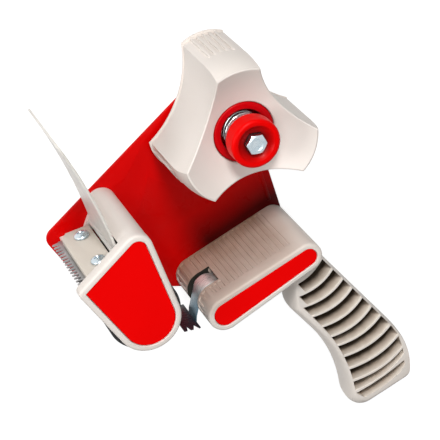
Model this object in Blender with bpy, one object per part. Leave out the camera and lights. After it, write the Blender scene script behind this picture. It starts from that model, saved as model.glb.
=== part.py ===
"""Hand-held packing tape dispenser, lying on the outer face of its side plate.

The roll axis stands upright (+Z). +X runs from the cutting head toward the grip and +Y from the head toward
the roll. Places in the plane of the plate are measured from the roll axis, heights from the plate's outer
face. Lengths are in metres.
"""

import math

import bmesh
import bpy
from mathutils import Vector

# Where the roll axis stands, so that the origin lies under the middle of the whole object
ROLL_AXIS_X = -0.0364
ROLL_AXIS_Y = 0.0414

# Clearances and the overrun of every cutter
SEAT_GAP = 0.0003
RUNNING_GAP = 0.0003
OVERRUN = 0.001
EDGE_SETBACK = 0.0002

# Fineness of round shapes
ARC_STEP = math.radians(12)
ROUNDING_POINTS = 4
CORNER_POINTS = 4
ROUND_STEPS = 32
SMALL_ROUND_STEPS = 16
RIM_SEGMENTS = 2

# Side plate
PLATE_THICKNESS = 0.0015
PLATE_TOP_RADIUS = 0.016
PLATE_GUARD_FROM_ROLLER_X = -0.0345
PLATE_GUARD_FROM_ROLLER_Y = 0.0050
PLATE_GUARD_RADIUS = 0.006
PLATE_FOOT_FROM_ROLLER_X = -0.0074
PLATE_FOOT_FROM_ROLLER_Y = -0.0043
PLATE_FOOT_RADIUS = 0.009
PLATE_SETBACK = 0.0008
BEAD_WIDTH = 0.0024
BEAD_HEIGHT = 0.0006
BEAD_INSET = 0.0048
BEAD_END_GAP = 0.0024

# Axle bolt and its nut
BOLT_RADIUS = 0.003
BOLT_HEAD_FLATS = 0.010
BOLT_HEAD_HEIGHT = 0.0040
BOLT_HEAD_CHAMFER = 0.0008
BOLT_BOTTOM = 0.0026
BOLT_HEAD_TURN = math.radians(31)
NUT_RADIUS = 0.0085
NUT_HEIGHT = 0.0055

# Hub for a 76 mm tape core
HUB_RADIUS = 0.038
HUB_LOBE_DIRECTION = math.radians(11.4)
HUB_LOBES = 3
HUB_LOBE_HALF_ANGLE = math.radians(16.7)
HUB_MIDDLE_RADIUS = 0.021
HUB_FRONT_RADIUS = 0.0345
HUB_FRONT_HALF_ANGLE = math.radians(18.6)
HUB_FRONT_MIDDLE_RADIUS = 0.0215
HUB_BACK = 0.0040
HUB_CORNER_HEIGHT = 0.0524
HUB_WALL = 0.0022
HUB_TIP_POINTS = 7
HUB_SIDE_POINTS = 9
HUB_TAPER_START_SHARE = 0.66
HUB_TAPER_SHARES = (0.0, 0.10, 0.34, 1.0)
HUB_TUBE_WALL = 0.0030
HUB_FLOOR_THICKNESS = 0.0025

# Brake: bush, washer, cup, spring and knob
BUSH_WALL = 0.0019
BUSH_FLANGE_RADIUS = 0.0080
BUSH_FLANGE_THICKNESS = 0.0012
BRAKE_WASHER_THICKNESS = 0.0010
BRAKE_WASHER_INNER_RADIUS = 0.0070
CUP_RADIUS = 0.0152
CUP_RECESS_RADIUS = 0.0115
CUP_FRONT = 0.0438
CUP_DEPTH = 0.0140
CUP_FLOOR_THICKNESS = 0.0020
CUP_RIM_ROUNDING = 0.0008
SPRING_WIRE_RADIUS = 0.0008
SPRING_OUTER_RADIUS = 0.0101
SPRING_CURLS = 5
SPRING_POINTS_PER_CURL = 10
KNOB_RADIUS = 0.0123
KNOB_BACK = CUP_FRONT + 0.0042
KNOB_FRONT = KNOB_BACK + 0.0120
BOLT_TOP = KNOB_FRONT + 0.0008
KNOB_DISH_RADIUS = 0.0095
KNOB_DISH_DEPTH = 0.0026
KNOB_RIM_ROUNDING = 0.0016
KNOB_BACK_RADIUS = 0.0107
KNOB_TAPER_HEIGHT = 0.0032
PRESSURE_WASHER_RADIUS = 0.0108
PRESSURE_WASHER_THICKNESS = 0.0012

# Cutting head
ROLLER_X = -0.0051
ROLLER_Y = -0.0987
ROLLER_RADIUS = 0.0186
ROLLER_BACK = 0.0030
ROLLER_FRONT = 0.0535
TYRE_THICKNESS = 0.0036
ROLLER_EDGE_ROUNDING = 0.0008
ROLLER_CORE_RIM = 0.0022
ROLLER_CORE_TUBE = 0.0024
ROLLER_CORE_WEB = 0.0080
ROLLER_SHAFT_RADIUS = 0.0040
ROLLER_STUB_RADIUS = 0.0026
ROLLER_SOCKET_DEPTH = 0.0024
COVER_BACK = 0.0548
COVER_FRONT = 0.0608
COVER_BORDER = 0.0033
COVER_EDGE_ROUNDING = 0.0015
COVER_RIM_HEIGHT = 0.0004
HEAD_INSERT_THICKNESS = 0.0012
COVER_FOOT_RADIUS = 0.0164
COVER_TOP_FROM_ROLLER_X = -0.0235
COVER_TOP_FROM_ROLLER_Y = 0.0302
COVER_TOP_RADIUS = 0.0078
COVER_CORNER_FROM_ROLLER_X = -0.0363
COVER_CORNER_FROM_ROLLER_Y = 0.0014
COLUMN_WALL = 0.0030
COLUMN_LEFT_LENGTH = 0.0052
COLUMN_RIGHT_LENGTH = 0.0228
BOSS_RADIUS = 0.0042
BOSS_END_WALL = 0.0015

# Blade, its clamp bar and its platform, measured along the bar's face from its free edge
BAR_EDGE_FROM_ROLLER_X = -0.0381
BAR_EDGE_FROM_ROLLER_Y = 0.0081
BAR_DIRECTION = math.radians(44)
BAR_LENGTH = 0.0156
BAR_THICKNESS = 0.0032
BAR_BACK = 0.0083
BAR_CORNER_CUT_ALONG = 0.0031
BAR_CORNER_CUT_UP = 0.0054
BLADE_THICKNESS = 0.0007
BLADE_REACH = 0.0048
BLADE_BACK = 0.0075
BLADE_TOOTH_LENGTH = 0.0028
BLADE_TEETH = 15
BLADE_TOOTH_BASE_SHARE = 0.62
BLADE_HIDDEN_WIDTH = 0.0140
PLATFORM_THICKNESS = 0.0030
PLATFORM_START = 0.0010
BLADE_SCREW_ALONG = 0.0092
BLADE_SCREW_BACK = 0.0179
BLADE_SCREW_FRONT = 0.0465
BLADE_SCREW_HEAD_RADIUS = 0.0039
BLADE_SCREW_HEAD_HEIGHT = 0.0024
BLADE_SCREW_EDGE_SHARE = 0.25
BLADE_SCREW_SHANK_RADIUS = 0.0018
GUSSET_THICKNESS = 0.0029
GUSSET_PIN_RADIUS = 0.0030

# Wiper flap and its pin
FLAP_PIVOT_FROM_ROLLER_X = -0.0244
FLAP_PIVOT_FROM_ROLLER_Y = 0.0203
FLAP_DIRECTION = math.radians(145.3)
FLAP_LENGTH_BACK = 0.0714
FLAP_LENGTH_FRONT = 0.0684
FLAP_THICKNESS = 0.0012
FLAP_BACK = 0.0050
FLAP_FRONT = 0.0530
FLAP_BARREL_RADIUS = 0.0019
FLAP_TIP_CORNER = 0.0035
FLAP_PIN_RADIUS = 0.0010
FLAP_PIN_SOCKET_DEPTH = 0.0018

# Handle moulding: block
BLOCK_LOW_X = 0.0365
BLOCK_LOW_Y = -0.0852
BLOCK_LOW_RADIUS = 0.0090
BLOCK_HIGH_X = 0.0619
BLOCK_HIGH_Y = -0.0430
BLOCK_HIGH_RADIUS = 0.0076
BLOCK_FRONT = 0.0512
BLOCK_BORDER = 0.0031
BLOCK_EDGE_ROUNDING = 0.0016
BLOCK_RIM_HEIGHT = 0.0003
HANDLE_INSERT_THICKNESS = 0.0012
BLOCK_WALL = 0.0024
BLOCK_FRONT_WALL = 0.0026
BLOCK_SOLID_LENGTH = 0.0130
BLOCK_BOSS_RADIUS = 0.0036
NOTCH_BACK = 0.0194
NOTCH_FRONT = 0.0342
NOTCH_WALL_ALONG = 0.0071
NOTCH_FLOOR_RADIUS = 0.0058

# Handle moulding: grip, along the palm (u) and across toward the fingers (v)
GRIP_ROOT_FROM_BLOCK_X = 0.0066
GRIP_ROOT_FROM_BLOCK_Y = 0.0014
GRIP_DIRECTION = math.radians(-18)
GRIP_BACK = 0.0195
GRIP_FRONT = 0.0415
GRIP_ROOT_DEPTH = 0.0045
GRIP_THROAT_WIDTH = 0.0124
GRIP_SHOULDER = 0.0195
GRIP_SHOULDER_ROUNDING = 0.0060
GRIP_WIDTH = 0.0289
GRIP_PALM_MARGIN = 0.0016
GRIP_PALM_STRAIGHT = 0.0714
GRIP_PALM_CURVE_RADIUS = 0.0396
GRIP_FINGER_STRAIGHT = 0.0379
GRIP_FINGER_CURVE_RADIUS = 0.0911
GRIP_HEEL = 0.1024
GRIP_HEEL_ROUNDING = 0.0037
GRIP_TOE = 0.0932
GRIP_TOE_ROUNDING = 0.0067
GRIP_PALM_INSET = 0.0012
GRIP_FINGER_INSET = 0.0032
GRIP_END_INSET = 0.0036
GRIP_EDGE_HEIGHT = 0.0106
GRIP_PALM_POINTS = 5
GRIP_FINGER_POINTS = 8
POCKETS = 10
POCKET_PITCH = 0.0085
POCKET_START = 0.0076
POCKET_PALM_WIDTH = 0.0070
POCKET_FINGER_WIDTH = 0.0070
POCKET_DEPTH = 0.0095
POCKET_PALM_MARGIN = 0.0012
POCKET_HEEL_MARGIN = 0.0028
POCKET_HEEL_LENGTH = 0.0150
POCKET_FINGER_MARGIN = 0.0056
POCKET_TOE_MARGIN = 0.0034
POCKET_LEAN = 0.0046
POCKET_TOE_LEAN = 0.0074
POCKET_BULGE = 0.0028
POCKET_CURVE_POINTS = 6
POCKET_LENGTH_SHARES = (0.74, 0.90, 1, 1, 1, 1, 1, 1, 1, 1)

# Tape tongue
TONGUE_THICKNESS = 0.0006
TONGUE_WIDTH = 0.0140
TONGUE_EYE_RADIUS = 0.0013
TONGUE_EYE_BEHIND_WALL = 0.0004
TONGUE_EYE_DEPTH = 0.0026
TONGUE_BEND_START = math.radians(126)
TONGUE_BEND_END = math.radians(168)
TONGUE_BEND_RADIUS_START = 0.0094
TONGUE_BEND_RADIUS_END = 0.0086
TONGUE_DROP = 0.0140
TONGUE_DROP_DIRECTION = math.radians(-72.2)
TONGUE_KICK = 0.0034
TONGUE_KICK_DIRECTION = math.radians(-62)
TONGUE_FOOT = 0.0084
TONGUE_FOOT_DIRECTION = math.radians(-146)
TONGUE_FOOT_WIDTH = 0.0260
TONGUE_NOTCH_DEPTH = 0.0040
TONGUE_NOTCH_WIDTH = 0.0036
TONGUE_NOTCH_SHARE = 0.24

# Countersunk screws through the plate
PLATE_SCREW_HEAD_RADIUS = 0.0034
PLATE_SCREW_HEAD_DEPTH = 0.0012
PLATE_SCREW_SHANK_RADIUS = 0.0018
PLATE_SCREW_LENGTH = 0.0120
PLATE_SCREW_INSET = 0.0001
CROSS_WIDTH = 0.0010
CROSS_DEPTH = 0.0009
CROSS_REACH_SHARE = 0.55
HEAD_SCREW_ALONG = 0.0060


def clear_scene():
    """Remove whatever the scene holds."""
    for old in list(bpy.data.objects):
        bpy.data.objects.remove(old, do_unlink=True)


def linear(value):
    """One sRGB channel (0 to 255) as a linear value."""
    share = value / 255
    if share <= 0.04045:
        return share / 12.92
    return ((share + 0.055) / 1.055) ** 2.4


def material(name, colour, roughness, metallic=0.0):
    """Principled material of one sRGB colour."""
    made = bpy.data.materials.new(name)
    made.use_nodes = True
    shader = made.node_tree.nodes["Principled BSDF"]
    shader.inputs["Base Color"].default_value = [linear(channel) for channel in colour] + [1.0]
    shader.inputs["Roughness"].default_value = roughness
    shader.inputs["Metallic"].default_value = metallic
    return made


def polar(angle, length, start=(0.0, 0.0)):
    """Point at a length and direction from a start."""
    return (start[0] + length * math.cos(angle), start[1] + length * math.sin(angle))


def arc(centre, radius, first, last, step=ARC_STEP):
    """Points of a circular arc, both ends included."""
    count = max(1, math.ceil(abs(last - first) / step))
    return [polar(first + (last - first) * i / count, radius, centre) for i in range(count + 1)]


def run_angle(first, second):
    """Direction of the outward normal where a tangent runs from one circle (x, y, radius) to the next."""
    across = second[0] - first[0]
    up = second[1] - first[1]
    lean = math.asin((first[2] - second[2]) / math.hypot(across, up))
    return math.atan2(up, across) - math.pi / 2 + lean


def turned_on(angle, start):
    """The same direction as an angle from start up to a full turn past it."""
    return start + (angle - start) % (2 * math.pi)


def hull_outline(circles):
    """Counter-clockwise outline that wraps circles (x, y, radius) given counter-clockwise."""
    points = []
    for index, circle in enumerate(circles):
        before = circles[index - 1]
        after = circles[(index + 1) % len(circles)]
        first = run_angle(before, circle)
        last = turned_on(run_angle(circle, after), first)
        if circle[2] > 0:
            points += arc(circle[:2], circle[2], first, last)
        else:
            points.append(circle[:2])
    return points


def shrunk(circles, amount):
    """The same circles, each smaller by one amount, down to a point."""
    return [(x, y, max(0.0, radius - amount)) for x, y, radius in circles]


def strip_outline(points, thickness):
    """Outline of a strip of one thickness along a line of points, with mitred bends."""
    left, right = [], []
    for index, point in enumerate(points):
        here = Vector(point)
        into = (here - Vector(points[index - 1])).normalized() if index else None
        out = (Vector(points[index + 1]) - here).normalized() if index + 1 < len(points) else None
        along = ((into or out) + (out or into)).normalized()
        normal = Vector((-along.y, along.x))
        mitre = normal.dot(Vector((-(into or out).y, (into or out).x)))
        reach = thickness / 2 / mitre
        left.append(tuple(here + normal * reach))
        right.append(tuple(here - normal * reach))
    return right + left[::-1]


def finished(name, mesh_data, pivot=(0.0, 0.0, 0.0)):
    """Object at a pivot, hung on the roll-axis datum, made from a bmesh."""
    bmesh.ops.recalc_face_normals(mesh_data, faces=mesh_data.faces)
    mesh = bpy.data.meshes.new(name)
    mesh_data.to_mesh(mesh)
    mesh_data.free()
    made = bpy.data.objects.new(name, mesh)
    bpy.context.scene.collection.objects.link(made)
    made.parent = DATUM
    made.location = pivot
    return made


def prism(name, outline, bottom, top, pivot=(0.0, 0.0), rim=0.0):
    """Outline extruded upward, its top rim rounded if asked, about a pivot in the plane."""
    shape = bmesh.new()
    ring = [shape.verts.new((x - pivot[0], y - pivot[1], bottom)) for x, y in outline]
    base = shape.faces.new(ring)
    raised = bmesh.ops.extrude_face_region(shape, geom=[base])["geom"]
    lifted = [item for item in raised if isinstance(item, bmesh.types.BMVert)]
    bmesh.ops.translate(shape, verts=lifted, vec=(0.0, 0.0, top - bottom))
    if rim > 0:
        top_verts = set(lifted)
        edges = [edge for edge in shape.edges if set(edge.verts) <= top_verts]
        bmesh.ops.bevel(shape, geom=edges, offset=rim, segments=RIM_SEGMENTS, profile=0.5, affect="EDGES")
    return finished(name, shape, (pivot[0], pivot[1], 0.0))


def turned(name, profile, pivot=(0.0, 0.0, 0.0), steps=ROUND_STEPS):
    """Solid turned about the upright axis through a pivot, from a closed profile of (radius, height)."""
    shape = bmesh.new()
    rings = []
    for radius, height in profile:
        if radius == 0:
            rings.append([shape.verts.new((0.0, 0.0, height))])
            continue
        corners = arc((0.0, 0.0), radius, 0.0, 2 * math.pi, 2 * math.pi / steps)[:-1]
        rings.append([shape.verts.new((x, y, height)) for x, y in corners])
    for index, ring in enumerate(rings):
        skin_between(shape, ring, rings[(index + 1) % len(rings)])
    return finished(name, shape, pivot)


def skin_between(shape, ring, other):
    """Faces between two rings of points, either of which may be a single point."""
    if len(ring) == 1 and len(other) == 1:
        return
    count = max(len(ring), len(other))
    for index in range(count):
        after = (index + 1) % count
        corners = [ring[index % len(ring)], ring[after % len(ring)]]
        corners += [other[after % len(other)], other[index % len(other)]]
        shape.faces.new(list(dict.fromkeys(corners)))


def add_loft(shape, rings):
    """Closed skin over matching rings of points, with a face at each end."""
    made = [[shape.verts.new(point) for point in ring] for ring in rings]
    for ring, other in zip(made, made[1:]):
        skin_between(shape, ring, other)
    shape.faces.new(made[0])
    shape.faces.new(made[-1])


def lofted(name, rings):
    """Solid over matching rings of points."""
    shape = bmesh.new()
    add_loft(shape, rings)
    return finished(name, shape)


def rounded_corner(before, corner, after, radius):
    """Points of the arc that rounds the corner between two straight runs."""
    spot = Vector(corner)
    back = (Vector(before) - spot).normalized()
    forth = (Vector(after) - spot).normalized()
    half = back.angle(forth) / 2
    centre = spot + (back + forth).normalized() * radius / math.sin(half)
    first = spot + back * radius / math.tan(half) - centre
    last = spot + forth * radius / math.tan(half) - centre
    start = math.atan2(first.y, first.x)
    sweep = -first.angle_signed(last)
    angles = spread(start, start + sweep, CORNER_POINTS)
    return [polar(angle, radius, tuple(centre)) for angle in angles]


def apply_boolean(target, tool, operation):
    """Boolean of a target with a helper that stays out of the model."""
    modifier = target.modifiers.new(tool.name, "BOOLEAN")
    modifier.operation = operation
    modifier.solver = "EXACT"
    modifier.object = tool
    tool.hide_render = True
    tool.display_type = "WIRE"


def cut(target, tool):
    """Take a helper's shape away from a target."""
    apply_boolean(target, tool, "DIFFERENCE")


def join(target, tool):
    """Add a helper's shape to a target."""
    apply_boolean(target, tool, "UNION")


def disc_outline(centre, radius, steps=ROUND_STEPS):
    """Full circle as an outline."""
    return arc(centre, radius, 0.0, 2 * math.pi, 2 * math.pi / steps)[:-1]


def drill(target, name, centre, radius, bottom, top, steps=SMALL_ROUND_STEPS):
    """Cut an upright round hole."""
    cut(target, prism(name, disc_outline(centre, radius, steps), bottom, top))


def finish(target, look, smooth_angle=math.radians(35)):
    """Give an object its material and smooth its round faces."""
    target.data.materials.append(look)
    target.data.shade_smooth()
    target.data.set_sharp_from_angle(angle=smooth_angle)
    return target


def cover_circles():
    """Circles that the head's cover outline wraps."""
    return [
        (ROLLER_X + COVER_TOP_FROM_ROLLER_X, ROLLER_Y + COVER_TOP_FROM_ROLLER_Y, COVER_TOP_RADIUS),
        (ROLLER_X + COVER_CORNER_FROM_ROLLER_X, ROLLER_Y + COVER_CORNER_FROM_ROLLER_Y, COVER_BORDER),
        (ROLLER_X, ROLLER_Y, COVER_FOOT_RADIUS),
    ]


def block_circles():
    """Circles that the handle's block outline wraps."""
    return [
        (BLOCK_HIGH_X, BLOCK_HIGH_Y, BLOCK_HIGH_RADIUS),
        (BLOCK_LOW_X, BLOCK_LOW_Y, BLOCK_LOW_RADIUS),
    ]


def head_screw_places():
    """Places of the two plate screws that hold the head."""
    return [cover_circles()[0][:2], bar_point(HEAD_SCREW_ALONG, platform_offset() + BOSS_RADIUS)]


def handle_screw_places():
    """Places of the two plate screws that hold the handle."""
    return [(BLOCK_LOW_X, BLOCK_LOW_Y), (BLOCK_HIGH_X, BLOCK_HIGH_Y)]


def plate_circles():
    """Circles that the side plate's outline wraps."""
    high, low = shrunk(block_circles(), PLATE_SETBACK)
    guard = (ROLLER_X + PLATE_GUARD_FROM_ROLLER_X, ROLLER_Y + PLATE_GUARD_FROM_ROLLER_Y, PLATE_GUARD_RADIUS)
    foot = (ROLLER_X + PLATE_FOOT_FROM_ROLLER_X, ROLLER_Y + PLATE_FOOT_FROM_ROLLER_Y, PLATE_FOOT_RADIUS)
    return [(0.0, 0.0, PLATE_TOP_RADIUS), guard, foot, low, high]


def bar_point(along, offset):
    """Point in the plate's plane, along the bar's face from its free edge and inward from the face."""
    edge = (ROLLER_X + BAR_EDGE_FROM_ROLLER_X, ROLLER_Y + BAR_EDGE_FROM_ROLLER_Y)
    return polar(BAR_DIRECTION - math.pi / 2, offset, polar(BAR_DIRECTION, along, edge))


def blade_offset():
    """Depth of the blade's upper face under the bar's face."""
    return BAR_THICKNESS + SEAT_GAP


def platform_offset():
    """Depth of the platform's upper face under the bar's face."""
    return blade_offset() + BLADE_THICKNESS + SEAT_GAP


def flap_pivot():
    """Axis of the wiper flap."""
    return (ROLLER_X + FLAP_PIVOT_FROM_ROLLER_X, ROLLER_Y + FLAP_PIVOT_FROM_ROLLER_Y)


def block_top_angle():
    """Direction of the outward normal of the block's upper side."""
    high, low = block_circles()
    return run_angle(high, low)


def block_top_point(along, depth):
    """Point along the block's upper side from its low end, below the surface by a depth."""
    normal = block_top_angle()
    start = polar(normal, BLOCK_LOW_RADIUS - depth, (BLOCK_LOW_X, BLOCK_LOW_Y))
    return polar(normal - math.pi / 2, along, start)


def tongue_pivot():
    """Axis of the tongue's rolled eye."""
    return block_top_point(NOTCH_WALL_ALONG + TONGUE_EYE_BEHIND_WALL, TONGUE_EYE_DEPTH)


def grip_point(along, across):
    """Point in the plate's plane from the grip's own directions."""
    root = (BLOCK_HIGH_X + GRIP_ROOT_FROM_BLOCK_X, BLOCK_HIGH_Y + GRIP_ROOT_FROM_BLOCK_Y)
    start = polar(GRIP_DIRECTION, along, root)
    return polar(GRIP_DIRECTION - math.pi / 2, across, start)


def bow(along, straight, radius):
    """How far an edge that is straight and then curves has dropped."""
    past = max(0.0, along - straight)
    return radius - math.sqrt(radius**2 - past**2)


def palm_edge(along):
    """Across place of the grip's palm side."""
    return -GRIP_PALM_MARGIN + bow(along, GRIP_PALM_STRAIGHT, GRIP_PALM_CURVE_RADIUS)


def finger_edge(along):
    """Across place of the grip's finger side."""
    return GRIP_WIDTH + bow(along, GRIP_FINGER_STRAIGHT, GRIP_FINGER_CURVE_RADIUS)


def spread(first, last, count):
    """Evenly spaced values from first to last."""
    return [first + (last - first) * i / (count - 1) for i in range(count)]


def countersunk_hole(target, name, centre):
    """Cut a countersunk hole through the side plate from its outer face."""
    wide = PLATE_SCREW_HEAD_RADIUS + SEAT_GAP
    narrow = PLATE_SCREW_SHANK_RADIUS + SEAT_GAP
    depth = PLATE_SCREW_HEAD_DEPTH
    slope = (wide - narrow) / depth
    profile = [
        (0.0, PLATE_THICKNESS + OVERRUN),
        (narrow, PLATE_THICKNESS + OVERRUN),
        (narrow, depth),
        (wide + slope * OVERRUN, -OVERRUN),
        (0.0, -OVERRUN),
    ]
    cut(target, turned(name, profile, (centre[0], centre[1], 0.0), SMALL_ROUND_STEPS))


def make_side_plate(look):
    """Pressed steel plate with rounded corners, a pressed bead and the fixing holes."""
    circles = plate_circles()
    plate = prism("side_plate", hull_outline(circles), 0.0, PLATE_THICKNESS)
    join(plate, plate_bead(circles))
    through = PLATE_THICKNESS + OVERRUN
    axle_hole = BOLT_RADIUS + SEAT_GAP
    drill(plate, "axle_hole_cutter", (0.0, 0.0), axle_hole, -OVERRUN, through)
    shaft_hole = ROLLER_STUB_RADIUS + SEAT_GAP
    drill(plate, "shaft_hole_cutter", (ROLLER_X, ROLLER_Y), shaft_hole, -OVERRUN, through)
    for index, centre in enumerate(head_screw_places() + handle_screw_places()):
        countersunk_hole(plate, f"screw_hole_cutter_{index + 1}", centre)
    return finish(plate, look)


def plate_bead(circles):
    """Raised bead beside the plate's edge between the block and the roll axis."""
    high, top = circles[-1], circles[0]
    normal = run_angle(high, top)
    first = polar(normal, high[2] - BEAD_INSET, high[:2])
    last = polar(normal, top[2] - BEAD_INSET, top[:2])
    heading = normal + math.pi / 2
    start = polar(heading, BLOCK_HIGH_RADIUS + BEAD_WIDTH / 2 + BEAD_END_GAP, first)
    end = polar(heading, -BEAD_END_GAP, last)
    ends = [(start[0], start[1], BEAD_WIDTH / 2), (end[0], end[1], BEAD_WIDTH / 2)]
    top_height = PLATE_THICKNESS + BEAD_HEIGHT
    return prism("bead_form", hull_outline(ends), PLATE_THICKNESS / 2, top_height, rim=BEAD_HEIGHT / 2)


def lobe_outline(radius, half_angle, middle_radius):
    """Points of the hub's outline: round lobe tips joined by hollow sides."""
    points = []
    turn = 2 * math.pi / HUB_LOBES
    for lobe in range(HUB_LOBES):
        middle = HUB_LOBE_DIRECTION + lobe * turn
        tip = [polar(middle + half_angle * share, radius) for share in spread(-1.0, 1.0, HUB_TIP_POINTS)]
        points += tip
        points += hollow_side(tip[-1], polar(middle + turn - half_angle, radius), middle_radius)
    return points


def hollow_side(first, last, middle_radius):
    """Inner points of the arc that joins two lobe corners and passes the roll axis at a distance."""
    chord_middle = (Vector(first) + Vector(last)) / 2
    outward = chord_middle.normalized()
    half = (Vector(last) - Vector(first)).length / 2
    sag = chord_middle.length - middle_radius
    radius = (half**2 + sag**2) / (2 * sag)
    centre = outward * (middle_radius + radius)
    start = Vector(first) - centre
    stop = Vector(last) - centre
    sweep = start.angle_signed(stop)
    points = []
    for share in spread(0.0, 1.0, HUB_SIDE_POINTS + 2)[1:-1]:
        angle = math.atan2(start.y, start.x) - sweep * share
        points.append(polar(angle, radius, tuple(centre)))
    return points


def dish_height(radius):
    """Height of the hub's dished front at a distance from the roll axis."""
    slope = (HUB_CORNER_HEIGHT - CUP_FRONT) / (HUB_FRONT_RADIUS - CUP_RADIUS)
    return CUP_FRONT + (radius - CUP_RADIUS) * slope


def hub_wall_ring(share, inset):
    """Ring of the hub's side wall, at a share of the taper toward the front and inset by a wall."""
    radius = HUB_RADIUS + (HUB_FRONT_RADIUS - HUB_RADIUS) * share
    half_angle = HUB_LOBE_HALF_ANGLE + (HUB_FRONT_HALF_ANGLE - HUB_LOBE_HALF_ANGLE) * share
    middle = HUB_MIDDLE_RADIUS + (HUB_FRONT_MIDDLE_RADIUS - HUB_MIDDLE_RADIUS) * share
    if inset > 0:
        half_width = radius * math.sin(half_angle) - inset
        half_angle = math.asin(half_width / (radius - inset))
    return lobe_outline(radius - inset, half_angle, middle - inset)


def hub_heights(outline, share, drop):
    """Ring points with heights at a share of the way from the hub's back to its dished front."""
    ring = []
    for x, y in outline:
        front = dish_height(math.hypot(x, y)) - drop
        ring.append((x, y, HUB_BACK + (front - HUB_BACK) * share))
    return ring


def hub_circle(outline, radius, height):
    """Ring of a circle, with its points in the same directions as an outline's."""
    directions = [math.atan2(y, x) for x, y in outline]
    return [(*polar(angle, radius), height) for angle in directions]


def hub_rings():
    """All rings of the hub's skin, from the back edge over the front, down the bore and up inside."""
    base = hub_wall_ring(0.0, 0.0)
    rings = [hub_heights(base, 0.0, 0.0)]
    lifts = spread(HUB_TAPER_START_SHARE, 1.0, len(HUB_TAPER_SHARES))
    for share, lift in zip(HUB_TAPER_SHARES, lifts):
        rings.append(hub_heights(hub_wall_ring(share, 0.0), lift, 0.0))
    recess = CUP_RADIUS + RUNNING_GAP
    floor = hub_floor()
    bore = bush_radius() + SEAT_GAP
    tube_end = flange_top() + SEAT_GAP
    rings.append(hub_circle(base, recess, dish_height(recess)))
    rings.append(hub_circle(base, recess, floor))
    rings.append(hub_circle(base, bore, floor))
    rings.append(hub_circle(base, bore, tube_end))
    rings.append(hub_circle(base, bore + HUB_TUBE_WALL, tube_end))
    rings.append(hub_circle(base, bore + HUB_TUBE_WALL, floor - HUB_FLOOR_THICKNESS))
    rings.append(hub_circle(base, recess + HUB_WALL, floor - HUB_FLOOR_THICKNESS))
    rings.append(hub_circle(base, recess + HUB_WALL, dish_height(recess + HUB_WALL) - HUB_WALL))
    for share, lift in reversed(list(zip(HUB_TAPER_SHARES, lifts))):
        rings.append(hub_heights(hub_wall_ring(share, HUB_WALL), lift, HUB_WALL))
    rings.append(hub_heights(hub_wall_ring(0.0, HUB_WALL), 0.0, 0.0))
    return rings


def make_hub(look):
    """Three-lobed shell, open toward the plate, with a recess for the cup and a tube for the bush."""
    shape = bmesh.new()
    rings = [[shape.verts.new(point) for point in ring] for ring in hub_rings()]
    for index, ring in enumerate(rings):
        skin_between(shape, ring, rings[(index + 1) % len(rings)])
    return finish(finished("hub", shape), look, math.radians(25))


def bush_radius():
    """Outer radius of the hub's bush."""
    return BOLT_RADIUS + RUNNING_GAP + BUSH_WALL


def nut_top():
    """Height of the face of the weld nut that the bush's flange runs on."""
    return PLATE_THICKNESS + SEAT_GAP + NUT_HEIGHT


def flange_top():
    """Height of the upper face of the bush's flange."""
    return nut_top() + RUNNING_GAP + BUSH_FLANGE_THICKNESS


def make_hub_bush(look):
    """Flanged plain bearing pressed into the hub's tube."""
    bore = BOLT_RADIUS + RUNNING_GAP
    bottom = nut_top() + RUNNING_GAP
    top = hub_floor()
    profile = [
        (bore, top),
        (bush_radius(), top),
        (bush_radius(), flange_top()),
        (BUSH_FLANGE_RADIUS, flange_top()),
        (BUSH_FLANGE_RADIUS, bottom),
        (bore, bottom),
    ]
    return finish(turned("hub_bush", profile), look)


def make_axle_nut(look):
    """Round weld nut on the plate that the bolt screws into."""
    profile = ring_profile(BOLT_RADIUS + SEAT_GAP, NUT_RADIUS, PLATE_THICKNESS + SEAT_GAP, nut_top())
    return finish(turned("axle_nut", profile), look)


def hexagon(flats):
    """Hexagon outline of a size across flats, turned as the bolt's head stands."""
    corner = flats / 2 / math.cos(math.pi / 6)
    return arc((0.0, 0.0), corner, BOLT_HEAD_TURN, BOLT_HEAD_TURN + 2 * math.pi, math.pi / 3)[:-1]


def make_axle_bolt(look):
    """Bolt that is the hub's axle, with its hexagon head held in the knob."""
    head_bottom = BOLT_TOP - BOLT_HEAD_HEIGHT
    corner = BOLT_HEAD_FLATS / 2 / math.cos(math.pi / 6)
    head = prism("axle_bolt", hexagon(BOLT_HEAD_FLATS), head_bottom, BOLT_TOP)
    crown = [
        (0.0, BOLT_TOP + OVERRUN),
        (BOLT_HEAD_FLATS / 2 - OVERRUN, BOLT_TOP + OVERRUN),
        (BOLT_HEAD_FLATS / 2, BOLT_TOP),
        (corner + OVERRUN, BOLT_TOP - BOLT_HEAD_CHAMFER),
        (corner + OVERRUN, head_bottom - OVERRUN),
        (0.0, head_bottom - OVERRUN),
    ]
    apply_boolean(head, turned("crown_form", crown), "INTERSECT")
    shank = disc_outline((0.0, 0.0), BOLT_RADIUS, SMALL_ROUND_STEPS)
    join(head, prism("shank_form", shank, BOLT_BOTTOM, head_bottom + OVERRUN))
    return finish(head, look)


def cup_back():
    """Height of the cup's underside."""
    return CUP_FRONT - CUP_DEPTH - CUP_FLOOR_THICKNESS


def hub_floor():
    """Height of the hub's inner floor, which the brake washer presses on."""
    return cup_back() - SEAT_GAP - BRAKE_WASHER_THICKNESS - SEAT_GAP


def ring_profile(inner, outer, bottom, top):
    """Closed profile of a plain ring."""
    return [(inner, top), (outer, top), (outer, bottom), (inner, bottom)]


def make_brake_washer(look):
    """Fibre washer between the cup and the hub's floor."""
    bottom = hub_floor() + SEAT_GAP
    top = bottom + BRAKE_WASHER_THICKNESS
    profile = ring_profile(BRAKE_WASHER_INNER_RADIUS, CUP_RADIUS - SEAT_GAP, bottom, top)
    return finish(turned("brake_washer", profile), look)


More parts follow.
